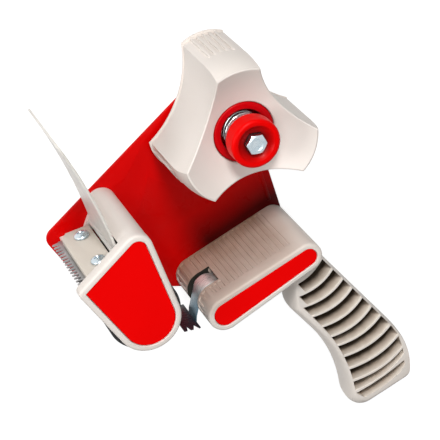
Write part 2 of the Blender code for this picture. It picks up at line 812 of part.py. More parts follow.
def make_spring_cup(look):
    """Cup that holds the brake spring and presses the hub toward the plate."""
    bore = BOLT_RADIUS + RUNNING_GAP
    floor = cup_back() + CUP_FLOOR_THICKNESS
    rounding = CUP_RIM_ROUNDING
    profile = [
        (bore, floor),
        (CUP_RECESS_RADIUS, floor),
        (CUP_RECESS_RADIUS, CUP_FRONT - rounding),
        (CUP_RECESS_RADIUS + rounding, CUP_FRONT),
        (CUP_RADIUS - rounding, CUP_FRONT),
        (CUP_RADIUS, CUP_FRONT - rounding),
        (CUP_RADIUS, cup_back()),
        (bore, cup_back()),
    ]
    return finish(turned("spring_cup", profile[::-1]), look)


def pressure_washer_bottom():
    """Height of the pressure washer's underside."""
    return KNOB_BACK - SEAT_GAP - PRESSURE_WASHER_THICKNESS


def spring_points():
    """Centre line of the brake spring: straight ends, square to the seats, and a helix between them."""
    bottom = cup_back() + CUP_FLOOR_THICKNESS + SEAT_GAP
    top = pressure_washer_bottom() - SEAT_GAP
    wire = 2 * SPRING_WIRE_RADIUS
    radius = SPRING_OUTER_RADIUS - SPRING_WIRE_RADIUS
    steps = SPRING_CURLS * SPRING_POINTS_PER_CURL
    low, high = bottom + wire, top - wire
    points = [(*polar(0.0, radius), bottom)]
    for step in range(steps + 1):
        angle = 2 * math.pi * SPRING_CURLS * step / steps
        points.append((*polar(angle, radius), low + (high - low) * step / steps))
    points.append((*polar(2 * math.pi * SPRING_CURLS, radius), top))
    return points


def report_spring_gap(points):
    """Measure and print the least gap between neighbouring curls."""
    turn_apart = SPRING_POINTS_PER_CURL * 3 // 4
    least = min(
        (Vector(first) - Vector(other)).length
        for index, first in enumerate(points)
        for other in points[index + turn_apart :]
    )
    print(f"brake_spring least gap to itself: {(least - 2 * SPRING_WIRE_RADIUS) * 1000:.2f} mm")


def make_brake_spring(look):
    """Compression spring as one round wire along a helix."""
    points = spring_points()
    report_spring_gap(points)
    curve = bpy.data.curves.new("brake_spring", "CURVE")
    curve.dimensions = "3D"
    curve.bevel_depth = SPRING_WIRE_RADIUS
    curve.bevel_resolution = 1
    curve.use_fill_caps = True
    line = curve.splines.new("POLY")
    line.points.add(len(points) - 1)
    for spot, point in zip(line.points, points):
        spot.co = (*point, 1.0)
    spring = bpy.data.objects.new("brake_spring", curve)
    bpy.context.scene.collection.objects.link(spring)
    spring.parent = DATUM
    curve.materials.append(look)
    return spring


def make_pressure_washer(look):
    """Steel washer between the spring and the knob."""
    bottom = pressure_washer_bottom()
    top = bottom + PRESSURE_WASHER_THICKNESS
    profile = ring_profile(BOLT_RADIUS + RUNNING_GAP, PRESSURE_WASHER_RADIUS, bottom, top)
    return finish(turned("pressure_washer", profile), look)


def make_brake_knob(look):
    """Round knob with a wide dish and a hexagonal well that holds the bolt's head."""
    dish_floor = KNOB_FRONT - KNOB_DISH_DEPTH
    bore = BOLT_RADIUS + SEAT_GAP
    rounding = KNOB_RIM_ROUNDING
    profile = [
        (bore, dish_floor),
        (KNOB_DISH_RADIUS - KNOB_DISH_DEPTH, dish_floor),
        (KNOB_DISH_RADIUS, KNOB_FRONT),
        (KNOB_RADIUS - rounding, KNOB_FRONT),
        (KNOB_RADIUS, KNOB_FRONT - rounding),
        (KNOB_RADIUS, KNOB_BACK + KNOB_TAPER_HEIGHT),
        (KNOB_BACK_RADIUS, KNOB_BACK),
        (bore, KNOB_BACK),
    ]
    knob = turned("brake_knob", profile)
    well = hexagon(BOLT_HEAD_FLATS + 2 * SEAT_GAP)
    cut(knob, prism("head_well_cutter", well, BOLT_TOP - BOLT_HEAD_HEIGHT - SEAT_GAP, dish_floor + OVERRUN))
    return finish(knob, look)


def column_outline():
    """Outline of the wall that follows the cover round its upper corner."""
    top, corner, foot = shrunk(cover_circles(), EDGE_SETBACK)
    centre, radius = top[:2], top[2]
    right = run_angle(foot, top)
    left = turned_on(run_angle(top, corner), right)
    inner = radius - COLUMN_WALL
    outer_points = [polar(right - math.pi / 2, COLUMN_RIGHT_LENGTH, polar(right, radius, centre))]
    outer_points += arc(centre, radius, right, left)
    outer_points.append(polar(left + math.pi / 2, COLUMN_LEFT_LENGTH, polar(left, radius, centre)))
    inner_points = [polar(left + math.pi / 2, COLUMN_LEFT_LENGTH, polar(left, inner, centre))]
    inner_points += arc(centre, inner, left, right)
    inner_points.append(polar(right - math.pi / 2, COLUMN_RIGHT_LENGTH, polar(right, inner, centre)))
    return outer_points + inner_points


def platform_outline():
    """Outline of the platform that the blade is screwed to."""
    near = platform_offset()
    far = near + PLATFORM_THICKNESS
    return [
        bar_point(PLATFORM_START, near),
        bar_point(PLATFORM_START, far),
        bar_point(BAR_LENGTH, far),
        bar_point(BAR_LENGTH, near),
    ]


def gusset_outline():
    """Outline of the foot that ties the column, the flap pin's seat and the platform together."""
    middle = platform_offset() + PLATFORM_THICKNESS / 2
    inner_end = bar_point(BAR_LENGTH - PLATFORM_THICKNESS / 2, middle)
    top_boss = head_screw_places()[0]
    return hull_outline([
        (*top_boss, BOSS_RADIUS),
        (*flap_pivot(), GUSSET_PIN_RADIUS),
        (*inner_end, PLATFORM_THICKNESS / 2),
    ])


def make_head_housing(look):
    """Head moulding: cover, column wall, screw boss, blade platform and foot."""
    bottom = PLATE_THICKNESS + SEAT_GAP
    inside_cover = COVER_BACK + OVERRUN
    cover = hull_outline(cover_circles())
    housing = prism("head_housing", cover, COVER_BACK, COVER_FRONT, rim=COVER_EDGE_ROUNDING)
    join(housing, prism("column_form", column_outline(), bottom, inside_cover))
    places = head_screw_places()
    top_boss, low_boss = (disc_outline(place, BOSS_RADIUS, SMALL_ROUND_STEPS) for place in places)
    join(housing, prism("top_boss_form", top_boss, bottom, inside_cover))
    join(housing, prism("low_boss_form", low_boss, bottom, PLATE_SCREW_LENGTH + BOSS_END_WALL))
    join(housing, prism("platform_form", platform_outline(), bottom, inside_cover))
    join(housing, prism("gusset_form", gusset_outline(), bottom, bottom + GUSSET_THICKNESS))
    insert_circles = shrunk(cover_circles(), COVER_BORDER - SEAT_GAP)
    floor = COVER_FRONT - COVER_RIM_HEIGHT - HEAD_INSERT_THICKNESS - SEAT_GAP
    cut(housing, prism("inlay_cutter", hull_outline(insert_circles), floor, COVER_FRONT + OVERRUN))
    drill_head(housing, bottom)
    return finish(housing, look)


def drill_head(housing, bottom):
    """Cut the screw holes, the roller shaft's socket and the flap pin's two sockets."""
    hole = PLATE_SCREW_SHANK_RADIUS + SEAT_GAP
    depth = PLATE_SCREW_LENGTH + SEAT_GAP
    for index, centre in enumerate(head_screw_places()):
        drill(housing, f"head_hole_cutter_{index + 1}", centre, hole, bottom - OVERRUN, depth)
    socket = ROLLER_STUB_RADIUS + SEAT_GAP
    roller = (ROLLER_X, ROLLER_Y)
    shaft_top = COVER_BACK + ROLLER_SOCKET_DEPTH + SEAT_GAP
    drill(housing, "shaft_socket_cutter", roller, socket, COVER_BACK - OVERRUN, shaft_top)
    pin_hole = FLAP_PIN_RADIUS + SEAT_GAP
    pin_top = COVER_BACK + FLAP_PIN_SOCKET_DEPTH + SEAT_GAP
    foot_top = bottom + GUSSET_THICKNESS
    pin_foot = foot_top - FLAP_PIN_SOCKET_DEPTH - SEAT_GAP
    drill(housing, "pin_socket_cutter", flap_pivot(), pin_hole, COVER_BACK - OVERRUN, pin_top)
    drill(housing, "pin_foot_cutter", flap_pivot(), pin_hole, pin_foot, foot_top + OVERRUN)
    for index, height in enumerate((BLADE_SCREW_BACK, BLADE_SCREW_FRONT)):
        cut(housing, screw_bore(f"platform_hole_cutter_{index + 1}", height, SEAT_GAP))


def screw_bore(name, height, clearance):
    """Cutter for one blade screw, square to the bar's face."""
    centre = bar_point(BLADE_SCREW_ALONG, 0.0)
    radius = BLADE_SCREW_SHANK_RADIUS + clearance
    depth = platform_offset() + PLATFORM_THICKNESS + OVERRUN
    profile = [(0.0, OVERRUN), (radius, OVERRUN), (radius, -depth), (0.0, -depth)]
    bore = turned(name, profile, (centre[0], centre[1], height), SMALL_ROUND_STEPS)
    face_bar(bore)
    return bore


def face_bar(target):
    """Turn an object so that its upward axis points out of the bar's face."""
    outward = Vector((*polar(BAR_DIRECTION + math.pi / 2, 1.0), 0.0))
    target.rotation_euler = outward.to_track_quat("Z", "Y").to_euler()


def make_head_insert(look):
    """Plain inlay in the cover."""
    top = COVER_FRONT - COVER_RIM_HEIGHT
    outline = hull_outline(shrunk(cover_circles(), COVER_BORDER))
    return finish(prism("head_insert", outline, top - HEAD_INSERT_THICKNESS, top), look)


def bar_slab(name, start, end, near, far, bottom, top):
    """Flat piece parallel to the bar's face."""
    corners = [bar_point(start, near), bar_point(start, far), bar_point(end, far), bar_point(end, near)]
    return prism(name, corners, bottom, top)


def make_blade_bar(look):
    """Clamp bar over the blade, with its far free corner cut off."""
    top = COVER_BACK - SEAT_GAP
    bar = bar_slab("blade_bar", 0.0, BAR_LENGTH, 0.0, BAR_THICKNESS, BAR_BACK, top)
    cut(bar, bar_corner_cutter())
    for index, height in enumerate((BLADE_SCREW_BACK, BLADE_SCREW_FRONT)):
        cut(bar, screw_bore(f"bar_hole_cutter_{index + 1}", height, SEAT_GAP))
    return finish(bar, look)


def bar_corner_cutter():
    """Wedge that takes the far free corner off the bar."""
    along, up = BAR_CORNER_CUT_ALONG, BAR_CORNER_CUT_UP
    flat = [
        (along + OVERRUN * along / up, -OVERRUN),
        (-OVERRUN, -OVERRUN),
        (-OVERRUN, up + OVERRUN * up / along),
    ]
    rings = []
    for offset in (-OVERRUN, BAR_THICKNESS + OVERRUN):
        rings.append([(*bar_point(start, offset), BAR_BACK + rise) for start, rise in flat])
    return lofted("bar_corner_cutter", rings)


def blade_profile():
    """Outline of the toothed blade as (along, height) points."""
    top = COVER_BACK - SEAT_GAP
    pitch = (top - BLADE_BACK) / BLADE_TEETH
    valley = -BLADE_REACH + BLADE_TOOTH_LENGTH
    half_base = pitch * BLADE_TOOTH_BASE_SHARE / 2
    points = [(BLADE_HIDDEN_WIDTH, BLADE_BACK), (BLADE_HIDDEN_WIDTH, top), (valley, top)]
    for tooth in reversed(range(BLADE_TEETH)):
        middle = BLADE_BACK + pitch * (tooth + 1 / 2)
        points += [(valley, middle + half_base), (-BLADE_REACH, middle), (valley, middle - half_base)]
    points.append((valley, BLADE_BACK))
    return points


def make_blade(look):
    """Toothed steel blade between the bar and the platform."""
    near = blade_offset()
    rings = []
    for offset in (near, near + BLADE_THICKNESS):
        rings.append([(*bar_point(along, offset), height) for along, height in blade_profile()])
    blade = lofted("blade", rings)
    for index, height in enumerate((BLADE_SCREW_BACK, BLADE_SCREW_FRONT)):
        cut(blade, screw_bore(f"blade_hole_cutter_{index + 1}", height, SEAT_GAP))
    return finish(blade, look)


def cross_cutter(name, head_radius, pivot, depth_down):
    """Cross recess for a screw head, as one plus-shaped prism cut from the head's top."""
    half = CROSS_WIDTH / 2
    reach = head_radius * CROSS_REACH_SHARE
    arm = [(half, half), (half, reach), (-half, reach)]
    outline = []
    for turn in range(4):
        outline += [polar(math.atan2(y, x) + turn * math.pi / 2, math.hypot(x, y)) for x, y in arm]
    shape = prism(name, outline, -CROSS_DEPTH, OVERRUN)
    shape.location = pivot
    if depth_down:
        shape.rotation_euler = (math.pi, 0.0, 0.0)
    return shape


def make_blade_screw(index, height, look):
    """Pan-head screw that clamps the bar and the blade to the platform."""
    name = f"blade_screw_{index}"
    head = BLADE_SCREW_HEAD_RADIUS
    tall = BLADE_SCREW_HEAD_HEIGHT
    shank = BLADE_SCREW_SHANK_RADIUS
    length = platform_offset() + PLATFORM_THICKNESS - SEAT_GAP
    seat = SEAT_GAP
    edge = tall * BLADE_SCREW_EDGE_SHARE
    profile = [(0.0, -length), (shank, -length), (shank, seat), (head, seat)]
    for angle in spread(0.0, math.pi / 2, ROUNDING_POINTS)[:-1]:
        profile.append((head * math.cos(angle), seat + edge + (tall - edge) * math.sin(angle)))
    profile.append((0.0, seat + tall))
    centre = bar_point(BLADE_SCREW_ALONG, 0.0)
    screw = turned(name, profile[::-1], (centre[0], centre[1], height), SMALL_ROUND_STEPS)
    face_bar(screw)
    top = polar(BAR_DIRECTION + math.pi / 2, seat + tall, centre)
    cross = cross_cutter(f"{name}_cross_cutter", head, (top[0], top[1], height), False)
    face_bar(cross)
    cut(screw, cross)
    return finish(screw, look)


def make_plate_screw(name, centre, look):
    """Countersunk screw through the plate into a boss."""
    bottom = PLATE_SCREW_INSET
    head = PLATE_SCREW_HEAD_RADIUS
    shank = PLATE_SCREW_SHANK_RADIUS
    profile = [
        (0.0, PLATE_SCREW_LENGTH),
        (shank, PLATE_SCREW_LENGTH),
        (shank, PLATE_SCREW_HEAD_DEPTH),
        (head, bottom),
        (0.0, bottom),
    ]
    screw = turned(name, profile, (centre[0], centre[1], 0.0), SMALL_ROUND_STEPS)
    cut(screw, cross_cutter(f"{name}_cross_cutter", head, (centre[0], centre[1], bottom), True))
    return finish(screw, look)


def make_roller_tyre(look):
    """Rubber tyre of the roller."""
    inner = ROLLER_RADIUS - TYRE_THICKNESS
    rounding = ROLLER_EDGE_ROUNDING
    profile = [
        (inner, ROLLER_FRONT),
        (ROLLER_RADIUS - rounding, ROLLER_FRONT),
        (ROLLER_RADIUS, ROLLER_FRONT - rounding),
        (ROLLER_RADIUS, ROLLER_BACK + rounding),
        (ROLLER_RADIUS - rounding, ROLLER_BACK),
        (inner, ROLLER_BACK),
    ]
    return finish(turned("roller_tyre", profile, (ROLLER_X, ROLLER_Y, 0.0)), look)


def make_roller_core(look):
    """Spool inside the tyre: rim, web and bearing tube."""
    outer = ROLLER_RADIUS - TYRE_THICKNESS - SEAT_GAP
    rim = outer - ROLLER_CORE_RIM
    bore = ROLLER_SHAFT_RADIUS + RUNNING_GAP
    tube = bore + ROLLER_CORE_TUBE
    middle = (ROLLER_BACK + ROLLER_FRONT) / 2
    web_low = middle - ROLLER_CORE_WEB / 2
    web_high = middle + ROLLER_CORE_WEB / 2
    profile = [
        (bore, ROLLER_FRONT),
        (tube, ROLLER_FRONT),
        (tube, web_high),
        (rim, web_high),
        (rim, ROLLER_FRONT),
        (outer, ROLLER_FRONT),
        (outer, ROLLER_BACK),
        (rim, ROLLER_BACK),
        (rim, web_low),
        (tube, web_low),
        (tube, ROLLER_BACK),
        (bore, ROLLER_BACK),
    ]
    return finish(turned("roller_core", profile, (ROLLER_X, ROLLER_Y, 0.0)), look)


def make_roller_shaft(look):
    """Shaft with a stub in the plate's hole and a stub in the cover's socket."""
    stub = ROLLER_STUB_RADIUS
    low = PLATE_THICKNESS + SEAT_GAP
    high = COVER_BACK - SEAT_GAP
    profile = [
        (0.0, COVER_BACK + ROLLER_SOCKET_DEPTH),
        (stub, COVER_BACK + ROLLER_SOCKET_DEPTH),
        (stub, high),
        (ROLLER_SHAFT_RADIUS, high),
        (ROLLER_SHAFT_RADIUS, low),
        (stub, low),
        (stub, SEAT_GAP),
        (0.0, SEAT_GAP),
    ]
    return finish(turned("roller_shaft", profile, (ROLLER_X, ROLLER_Y, 0.0)), look)


def make_wiper_flap(look):
    """Flap with a hinge barrel at its root, a slightly slanted tip and rounded corners."""
    pivot = flap_pivot()
    barrel = disc_outline(pivot, FLAP_BARREL_RADIUS, SMALL_ROUND_STEPS)
    flap = prism("wiper_flap", barrel, FLAP_BACK + EDGE_SETBACK, FLAP_FRONT - EDGE_SETBACK, pivot)
    rings = []
    for side in (-FLAP_THICKNESS / 2, FLAP_THICKNESS / 2):
        ring = []
        for along, height in flap_outline():
            foot = polar(FLAP_DIRECTION, along, pivot)
            ring.append((*polar(FLAP_DIRECTION + math.pi / 2, side, foot), height))
        rings.append(ring)
    join(flap, lofted("leaf_form", rings))
    bore = FLAP_PIN_RADIUS + RUNNING_GAP
    drill(flap, "barrel_bore_cutter", pivot, bore, FLAP_BACK - OVERRUN, FLAP_FRONT + OVERRUN)
    return finish(flap, look)


def flap_outline():
    """Outline of the flap's leaf as (along, height) points."""
    root_back = (FLAP_BARREL_RADIUS / 2, FLAP_BACK)
    root_front = (FLAP_BARREL_RADIUS / 2, FLAP_FRONT)
    tip_back = (FLAP_LENGTH_BACK, FLAP_BACK)
    tip_front = (FLAP_LENGTH_FRONT, FLAP_FRONT)
    outline = [root_back]
    outline += rounded_corner(root_back, tip_back, tip_front, FLAP_TIP_CORNER)
    outline += rounded_corner(tip_back, tip_front, root_front, FLAP_TIP_CORNER)
    return outline + [root_front]


def make_flap_pin(look):
    """Steel pin that the flap swings on, seated in the housing's foot and cover."""
    foot_top = PLATE_THICKNESS + SEAT_GAP + GUSSET_THICKNESS
    bottom = foot_top - FLAP_PIN_SOCKET_DEPTH
    top = COVER_BACK + FLAP_PIN_SOCKET_DEPTH
    pin = prism("flap_pin", disc_outline(flap_pivot(), FLAP_PIN_RADIUS, SMALL_ROUND_STEPS), bottom, top)
    return finish(pin, look)


def make_handle(look):
    """Handle moulding: block with its notch and screw bosses, and the ribbed grip."""
    bottom = PLATE_THICKNESS + SEAT_GAP
    high, low = block_circles()
    block = prism("handle", hull_outline([high, low]), bottom, BLOCK_FRONT, rim=BLOCK_EDGE_ROUNDING)
    join(block, grip_form())
    cut(block, prism("block_hollow_cutter", hull_outline(hollow_circles()), bottom - OVERRUN, hollow_top()))
    boss = disc_outline(high[:2], BLOCK_BOSS_RADIUS, SMALL_ROUND_STEPS)
    join(block, prism("block_boss_form", boss, bottom, hollow_top() + OVERRUN))
    insert_circles = shrunk([high, low], BLOCK_BORDER - SEAT_GAP)
    floor = BLOCK_FRONT - BLOCK_RIM_HEIGHT - HANDLE_INSERT_THICKNESS - SEAT_GAP
    cut(block, prism("block_inlay_cutter", hull_outline(insert_circles), floor, BLOCK_FRONT + OVERRUN))
    cut(block, notch_cutter())
    eye = TONGUE_EYE_RADIUS + RUNNING_GAP
    drill(block, "tongue_socket_cutter", tongue_pivot(), eye, NOTCH_BACK, NOTCH_FRONT)
    hole = PLATE_SCREW_SHANK_RADIUS + SEAT_GAP
    for index, centre in enumerate(handle_screw_places()):
        depth = PLATE_SCREW_LENGTH + SEAT_GAP
        drill(block, f"handle_hole_cutter_{index + 1}", centre, hole, bottom - OVERRUN, depth)
    cut(block, pocket_cutters())
    return finish(block, look)


def hollow_top():
    """Height of the block's inner ceiling."""
    floor = BLOCK_FRONT - BLOCK_RIM_HEIGHT - HANDLE_INSERT_THICKNESS - SEAT_GAP
    return floor - BLOCK_FRONT_WALL


def hollow_circles():
    """Circles of the block's hollow, which leaves the notched end solid."""
    high, low = shrunk(block_circles(), BLOCK_WALL)
    heading = math.atan2(high[1] - low[1], high[0] - low[0])
    start = polar(heading, BLOCK_SOLID_LENGTH, low[:2])
    return [high, (start[0], start[1], low[2])]


def notch_cutter():
    """Cutter for the notch that the tongue lies in, from its wall round the block's low end."""
    centre = (BLOCK_LOW_X, BLOCK_LOW_Y)
    normal = block_top_angle()
    heading = normal - math.pi / 2
    reach = BLOCK_LOW_RADIUS + BLOCK_LOW_RADIUS
    wall_foot = polar(heading, NOTCH_WALL_ALONG, polar(normal, NOTCH_FLOOR_RADIUS, centre))
    wall_top = polar(normal, reach, wall_foot)
    far_side = normal + math.pi * 5 / 6
    outline = [wall_foot, wall_top]
    outline += arc(centre, reach, normal, far_side)[1:]
    outline += arc(centre, NOTCH_FLOOR_RADIUS, far_side, normal)
    return prism("notch_cutter", outline, NOTCH_BACK, NOTCH_FRONT)


def grip_outline(share):
    """Outline of the grip, drawn in by a share of its insets."""
    palm_inset = GRIP_PALM_INSET * share
    finger_inset = GRIP_FINGER_INSET * share
    heel_along = GRIP_HEEL - GRIP_END_INSET * share
    toe_along = GRIP_TOE - GRIP_END_INSET * share
    palm_line = spread(GRIP_PALM_STRAIGHT, heel_along - GRIP_HEEL_ROUNDING, GRIP_PALM_POINTS)
    finger_line = spread(toe_along - GRIP_TOE_ROUNDING, GRIP_FINGER_STRAIGHT, GRIP_FINGER_POINTS)
    root = -GRIP_ROOT_DEPTH
    palm = [(root, palm_edge(root) + palm_inset)]
    palm += [(along, palm_edge(along) + palm_inset) for along in palm_line]
    finger = [(along, finger_edge(along) - finger_inset) for along in finger_line]
    heel = (heel_along, palm_edge(heel_along) + palm_inset)
    toe = (toe_along, finger_edge(toe_along) - finger_inset)
    shoulder = (GRIP_SHOULDER, GRIP_WIDTH - finger_inset)
    throat = (root, GRIP_THROAT_WIDTH - finger_inset)
    flat = palm + rounded_corner(palm[-1], heel, toe, GRIP_HEEL_ROUNDING)
    flat += rounded_corner(heel, toe, finger[0], GRIP_TOE_ROUNDING) + finger
    flat += rounded_corner(finger[-1], shoulder, throat, GRIP_SHOULDER_ROUNDING) + [throat]
    return [grip_point(along, across) for along, across in flat]


def grip_form():
    """Body of the grip, rounded to an oval section."""
    rings = []
    quarter = spread(0.0, math.pi / 2, ROUNDING_POINTS)
    levels = [(GRIP_BACK, angle, 1) for angle in quarter]
    levels += [(GRIP_FRONT, angle, -1) for angle in quarter[::-1]]
    for edge, angle, inward in levels:
        rise = GRIP_EDGE_HEIGHT * (1 - math.cos(angle)) * inward
        rings.append([(x, y, edge + rise) for x, y in grip_outline(1 - math.sin(angle))])
    return lofted("grip_form", rings)


def pocket_outline(index):
    """Outline of one flank pocket between two bowed ribs."""
    start = POCKET_START + index * POCKET_PITCH
    toward_toe = index / (POCKETS - 1)
    lean = POCKET_LEAN + (POCKET_TOE_LEAN - POCKET_LEAN) * toward_toe
    finger_margin = POCKET_FINGER_MARGIN + (POCKET_TOE_MARGIN - POCKET_FINGER_MARGIN) * toward_toe
    edges = []
    for palm_start, finger_start in (
        (start, start - lean),
        (start + POCKET_PALM_WIDTH, start - lean + POCKET_FINGER_WIDTH),
    ):
        past = min(1.0, max(0.0, palm_start - GRIP_PALM_STRAIGHT) / POCKET_HEEL_LENGTH)
        near = palm_edge(palm_start) + POCKET_PALM_MARGIN + POCKET_HEEL_MARGIN * past
        far = finger_edge(finger_start) - finger_margin
        points = []
        for share in spread(0.0, POCKET_LENGTH_SHARES[index], POCKET_CURVE_POINTS):
            straight = palm_start + (finger_start - palm_start) * share
            bulge = POCKET_BULGE * 4 * share * (1 - share)
            points.append(grip_point(straight + bulge, near + (far - near) * share))
        edges.append(points)
    return edges[0] + edges[1][::-1]


def pocket_cutters():
    """All flank pockets of both sides as one cutter."""
    shape = bmesh.new()
    for index in range(POCKETS):
        for low, high in (
            (GRIP_FRONT - POCKET_DEPTH, GRIP_FRONT + OVERRUN),
            (GRIP_BACK - OVERRUN, GRIP_BACK + POCKET_DEPTH),
        ):
            outline = pocket_outline(index)
            add_loft(shape, [[(x, y, height) for x, y in outline] for height in (low, high)])
    return finished("pocket_cutters", shape)


def make_handle_insert(look):
    """Plain inlay in the handle's block."""
    top = BLOCK_FRONT - BLOCK_RIM_HEIGHT
    outline = hull_outline(shrunk(block_circles(), BLOCK_BORDER))
    return finish(prism("handle_insert", outline, top - HANDLE_INSERT_THICKNESS, top), look)


def tongue_line():
    """Centre line of the tongue, from its eye round the block's end and down to the foot's bend."""
    centre = (BLOCK_LOW_X, BLOCK_LOW_Y)
    points = [tongue_pivot()]
    for share in spread(0.0, 1.0, 4):
        angle = TONGUE_BEND_START + (TONGUE_BEND_END - TONGUE_BEND_START) * share
        radius = TONGUE_BEND_RADIUS_START + (TONGUE_BEND_RADIUS_END - TONGUE_BEND_RADIUS_START) * share
        points.append(polar(angle, radius, centre))
    points.append(polar(TONGUE_DROP_DIRECTION, TONGUE_DROP, points[-1]))
    points.append(polar(TONGUE_KICK_DIRECTION, TONGUE_KICK, points[-1]))
    return points


def make_tape_tongue(look):
    """Spring-steel tongue: rolled eye, bent strip and T-shaped foot with a notched corner."""
    pivot = tongue_pivot()
    middle = (NOTCH_BACK + NOTCH_FRONT) / 2
    low, high = middle - TONGUE_WIDTH / 2, middle + TONGUE_WIDTH / 2
    line = tongue_line()
    tongue = prism("tape_tongue", strip_outline(line, TONGUE_THICKNESS), low, high, pivot)
    eye = disc_outline(pivot, TONGUE_EYE_RADIUS, SMALL_ROUND_STEPS)
    join(tongue, prism("eye_form", eye, low, high))
    heel = polar(TONGUE_FOOT_DIRECTION, -TONGUE_THICKNESS / 2, line[-1])
    toe = polar(TONGUE_FOOT_DIRECTION, TONGUE_FOOT, line[-1])
    foot_low = middle - TONGUE_FOOT_WIDTH / 2
    foot_high = middle + TONGUE_FOOT_WIDTH / 2
    join(tongue, prism("foot_form", strip_outline([heel, toe], TONGUE_THICKNESS), foot_low, foot_high))
    cut(tongue, foot_notch_cutter(line[-1], foot_high))
    return finish(tongue, look)


def foot_notch_cutter(bend, top):
    """V-shaped cutter in the foot's front edge, beside its bend."""
    apex = TONGUE_FOOT * TONGUE_NOTCH_SHARE
    half = TONGUE_NOTCH_WIDTH / 2
    flat = [(apex, top - TONGUE_NOTCH_DEPTH), (apex + half, top + OVERRUN), (apex - half, top + OVERRUN)]
    rings = []
    for side in (-OVERRUN, OVERRUN):
        ring = []
        for along, height in flat:
            foot = polar(TONGUE_FOOT_DIRECTION, along, bend)
            ring.append((*polar(TONGUE_FOOT_DIRECTION + math.pi / 2, side, foot), height))
        rings.append(ring)
    return lofted("foot_notch_cutter", rings)


def build():
    """Make every sub-part."""
    beige = material("beige plastic", (222, 212, 205), 0.45)
    plate_red = material("red paint", (190, 0, 0), 0.35)
    inlay_red = material("red inlay", (232, 0, 0), 0.45)
    knob_red = material("red plastic", (240, 0, 6), 0.35)
    steel = material("bright steel", (190, 192, 190), 0.25, 1.0)
    zinc = material("zinc plating", (200, 202, 198), 0.35, 1.0)
    rubber = material("black rubber", (18, 18, 20), 0.8)
    milky = material("milky plastic", (240, 238, 232), 0.4)
    bearing = material("white bearing plastic", (225, 222, 215), 0.5)
    fibre = material("brown fibre", (120, 82, 58), 0.8)
    make_side_plate(plate_red)
    make_axle_nut(zinc)
    make_axle_bolt(zinc)
    make_hub(beige)
    make_hub_bush(bearing)
    make_brake_washer(fibre)
    make_spring_cup(knob_red)
    make_brake_spring(steel)
    make_pressure_washer(zinc)
    make_brake_knob(knob_red)
    make_head_housing(beige)
    make_head_insert(inlay_red)
    make_blade_bar(beige)
    make_blade(steel)
    make_blade_screw(1, BLADE_SCREW_BACK, zinc)
    make_blade_screw(2, BLADE_SCREW_FRONT, zinc)
    make_wiper_flap(milky)
    make_flap_pin(steel)
    make_roller_tyre(rubber)
    make_roller_core(bearing)
    make_roller_shaft(steel)
    make_handle(beige)
    make_handle_insert(inlay_red)
    make_tape_tongue(steel)
    for index, centre in enumerate(head_screw_places()):
        make_plate_screw(f"head_screw_{index + 1}", centre, zinc)
    for index, centre in enumerate(handle_screw_places()):
        make_plate_screw(f"handle_screw_{index + 1}", centre, zinc)


clear_scene()
DATUM = bpy.data.objects.new("roll_axis_datum", None)
DATUM.location = (ROLL_AXIS_X, ROLL_AXIS_Y, 0.0)
bpy.context.scene.collection.objects.link(DATUM)
build()
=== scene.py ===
"""Looks of a hand-held packing tape dispenser: moulded beige head, handle and hub on a red steel plate.

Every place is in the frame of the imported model: the roll axis is upright (+Z), +X runs from the cutting head
to the grip and +Y from the head to the roll. Lengths are in metres.
"""

from __future__ import annotations

import sys

import logging
import math
from dataclasses import dataclass
from enum import Enum
from functools import partial
from typing import Callable, Sequence

import bmesh
import bpy
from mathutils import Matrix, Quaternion, Vector


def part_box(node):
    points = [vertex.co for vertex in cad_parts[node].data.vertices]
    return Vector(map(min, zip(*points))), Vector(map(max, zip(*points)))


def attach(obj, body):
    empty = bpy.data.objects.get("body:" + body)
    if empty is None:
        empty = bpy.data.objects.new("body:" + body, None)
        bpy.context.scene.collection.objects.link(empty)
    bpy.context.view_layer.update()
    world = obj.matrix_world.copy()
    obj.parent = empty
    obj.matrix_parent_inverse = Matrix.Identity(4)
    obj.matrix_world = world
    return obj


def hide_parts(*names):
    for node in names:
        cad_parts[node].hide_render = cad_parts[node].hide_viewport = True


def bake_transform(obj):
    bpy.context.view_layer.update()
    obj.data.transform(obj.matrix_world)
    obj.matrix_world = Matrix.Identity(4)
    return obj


LOG = logging.getLogger("tape_dispenser")

Point = tuple[float, float]
Place = tuple[float, float, float]
Disc = tuple[float, float, float]
Level = tuple[float, float]
Shade = tuple[int, int, int]
Body = bpy.types.Object
Socket = bpy.types.NodeSocket

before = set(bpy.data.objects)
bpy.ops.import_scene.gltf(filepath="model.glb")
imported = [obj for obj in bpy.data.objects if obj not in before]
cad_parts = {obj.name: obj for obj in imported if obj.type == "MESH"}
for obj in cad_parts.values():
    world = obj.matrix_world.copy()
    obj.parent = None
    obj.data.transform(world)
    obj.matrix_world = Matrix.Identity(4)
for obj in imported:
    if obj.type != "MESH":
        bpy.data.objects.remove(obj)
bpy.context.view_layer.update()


def roll_axis() -> Point:
    """Place of the roll axis in the plane of the plate.

    Returns:
        Its x and y, taken from the hub's bush.
    """
    low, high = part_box("hub_bush")
    return ((low[0] + high[0]) / 2, (low[1] + high[1]) / 2)


AXIS: Point = roll_axis()
ARC_STEP = math.radians(5)
SHARP = 1e-6
DOUBLED = 1e-7
SEAM = 1e-6
SLOPE_STEP = 0.01
SHARP_EDGE = 30.0
SHANK = 0.0018
SCREW_HOLE = 0.0021
CROSS_WIDTH = 0.0010
CROSS_TAPER = 0.62
ROUND_EDGE = 32.0


# ---- Outlines ----


def spread(first: float, last: float, count: int) -> list[float]:
    """Evenly spaced values from first to last, both included."""
    return [first + (last - first) * i / (count - 1) for i in range(count)]


def polar(angle: float, length: float, start: Point = (0.0, 0.0)) -> Point:
    """Point at a direction and distance from a start."""
    return (start[0] + length * math.cos(angle), start[1] + length * math.sin(angle))


